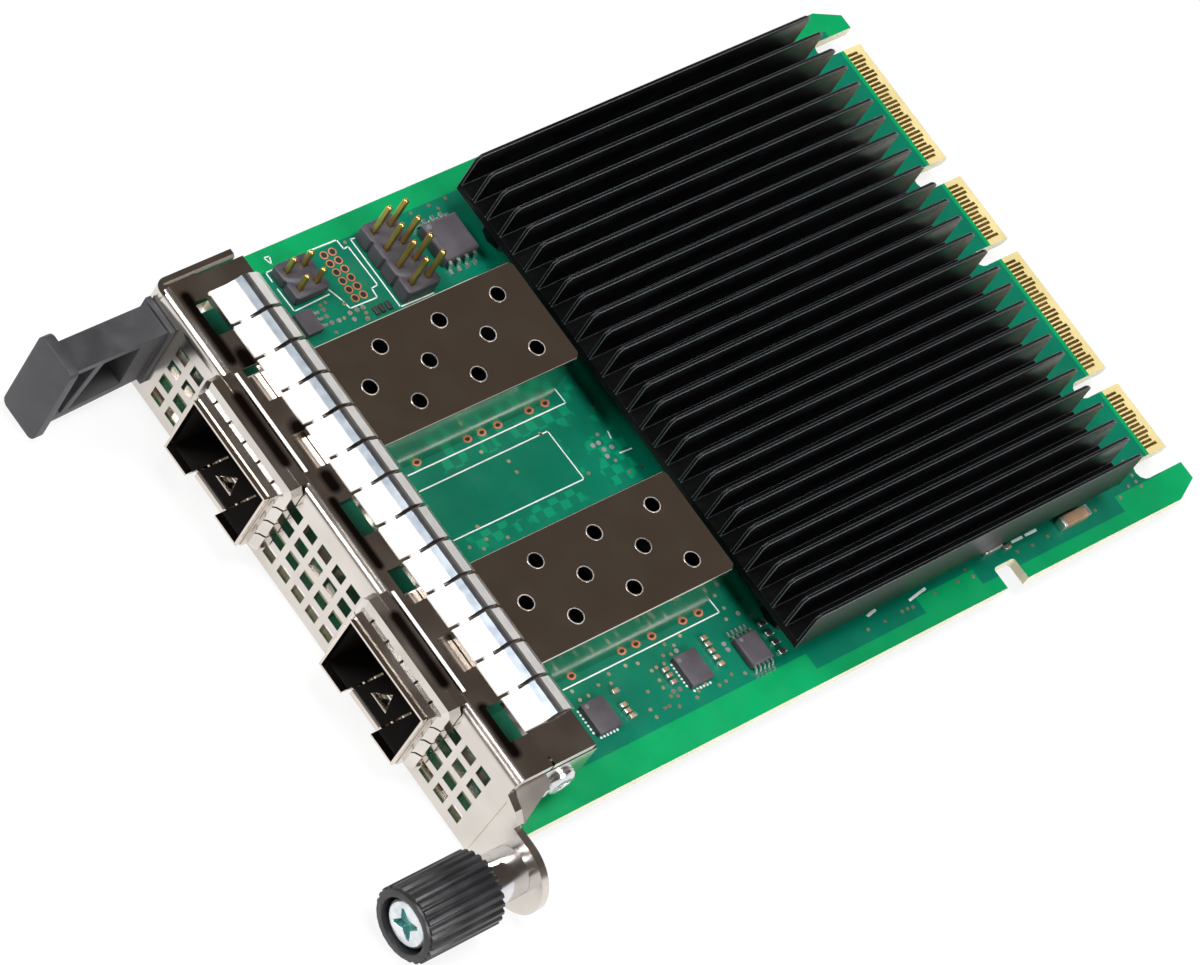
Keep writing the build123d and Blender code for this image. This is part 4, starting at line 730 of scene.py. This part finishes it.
board_marks()
sheet_details()
for name, width, segments, body in (
    ("heat_sink", 0.08, 1, "card"), ("thumbscrew_knob", 0.12, 2, "thumbscrew"), ("thumbscrew_screw", 0.06, 2, "thumbscrew"),
    ("thumbscrew_barrel", 0.06, 2, "card"), ("pull_tab", 0.25, 3, "card"), ("side_screw", 0.1, 2, "card"),
    ("four_pin_header", 0.12, 2, "card"), ("eight_pin_header", 0.12, 2, "card"),
    ("four_pin_header_pins", 0.08, 1, "card"), ("eight_pin_header_pins", 0.08, 1, "card"),
    ("memory_chip", 0.08, 2, "card"), ("regulator_chip", 0.06, 2, "card"), ("square_chips", 0.06, 2, "card"),
    ("chip_capacitors", 0.06, 2, "card"), ("chip_resistors", 0.05, 1, "card"), ("large_capacitor", 0.12, 3, "card"),
    ("tan_capacitor", 0.1, 2, "card"),
):
    softened(name, width, segments, body)

# The spring gets a bevelled copy on the card, with a mesh of its own
spring = softened("thumbscrew_spring", 0.04, 1)
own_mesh(spring)


# Floor, backdrop colour and lamps
def make_floor():
    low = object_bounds()[0][2]
    bpy.ops.mesh.primitive_plane_add(size=6, location=(0, -0.05, low))
    floor = bpy.context.object
    floor.name = "floor"
    bpy.ops.object.transform_apply(location=True, rotation=True, scale=True)
    material, tree, shader = new_material("pale floor")
    shader.inputs["Base Color"].default_value = colour(0.90, 0.90, 0.90)
    shader.inputs["Roughness"].default_value = 0.9
    path = put(tree, "LightPath").outputs
    seen = maths(tree, "MAXIMUM", path["Is Camera Ray"], path["Is Glossy Ray"])
    glow = put(tree, "Emission", None, {0: colour(1, 1, 1), 1: 1.0})
    share = maths(tree, "MULTIPLY", seen, 0.85)
    blend = put(tree, "MixShader", None, {0: share, 1: shader.outputs[0], 2: glow.outputs[0]})
    tree.links.new(blend.outputs[0], tree.nodes["Material Output"].inputs[0])
    floor.data.materials.append(material)


def make_surroundings():
    world = bpy.data.worlds.new("studio")
    bpy.context.scene.world = world
    world.use_nodes = True
    tree = world.node_tree
    ground = tree.nodes["Background"]
    path = put(tree, "LightPath").outputs
    direction = put(tree, "TexCoord").outputs["Generated"]
    height = put(tree, "SeparateXYZ", None, {0: direction}).outputs[2]
    above = lifted(tree, height, 0.22, 0.36)
    shade = mixed(tree, above, colour(0.95, 0.95, 0.95), colour(0.068, 0.054, 0.043))
    background = mixed(tree, path["Is Camera Ray"], shade, colour(1, 1, 1))
    tree.links.new(background, ground.inputs[0])
    ground.inputs[1].default_value = 1.0


def make_lamp(name, place, aim, size, energy, glossy=True):
    lamp = bpy.data.lights.new(name, "AREA")
    lamp.shape = "DISK"
    lamp.size = size
    lamp.energy = energy
    holder = bpy.data.objects.new(name, lamp)
    holder.location = place
    toward = Vector(aim) - Vector(place)
    holder.rotation_euler = toward.to_track_quat("-Z", "Y").to_euler()
    holder.visible_glossy = glossy
    bpy.context.scene.collection.objects.link(holder)


place_camera()
make_floor()
make_surroundings()
make_lamp("front left softbox", (-0.55, -0.75, 0.75), (0, -0.06, 0), 0.55, 9.0)
make_lamp("right softbox", (0.85, 0.05, 0.60), (0, -0.06, 0), 0.45, 7.0)
make_lamp("top softbox", (0.05, -0.10, 1.00), (0, -0.06, 0), 0.40, 7.0)

bpy.context.scene.view_settings.view_transform = "Standard"
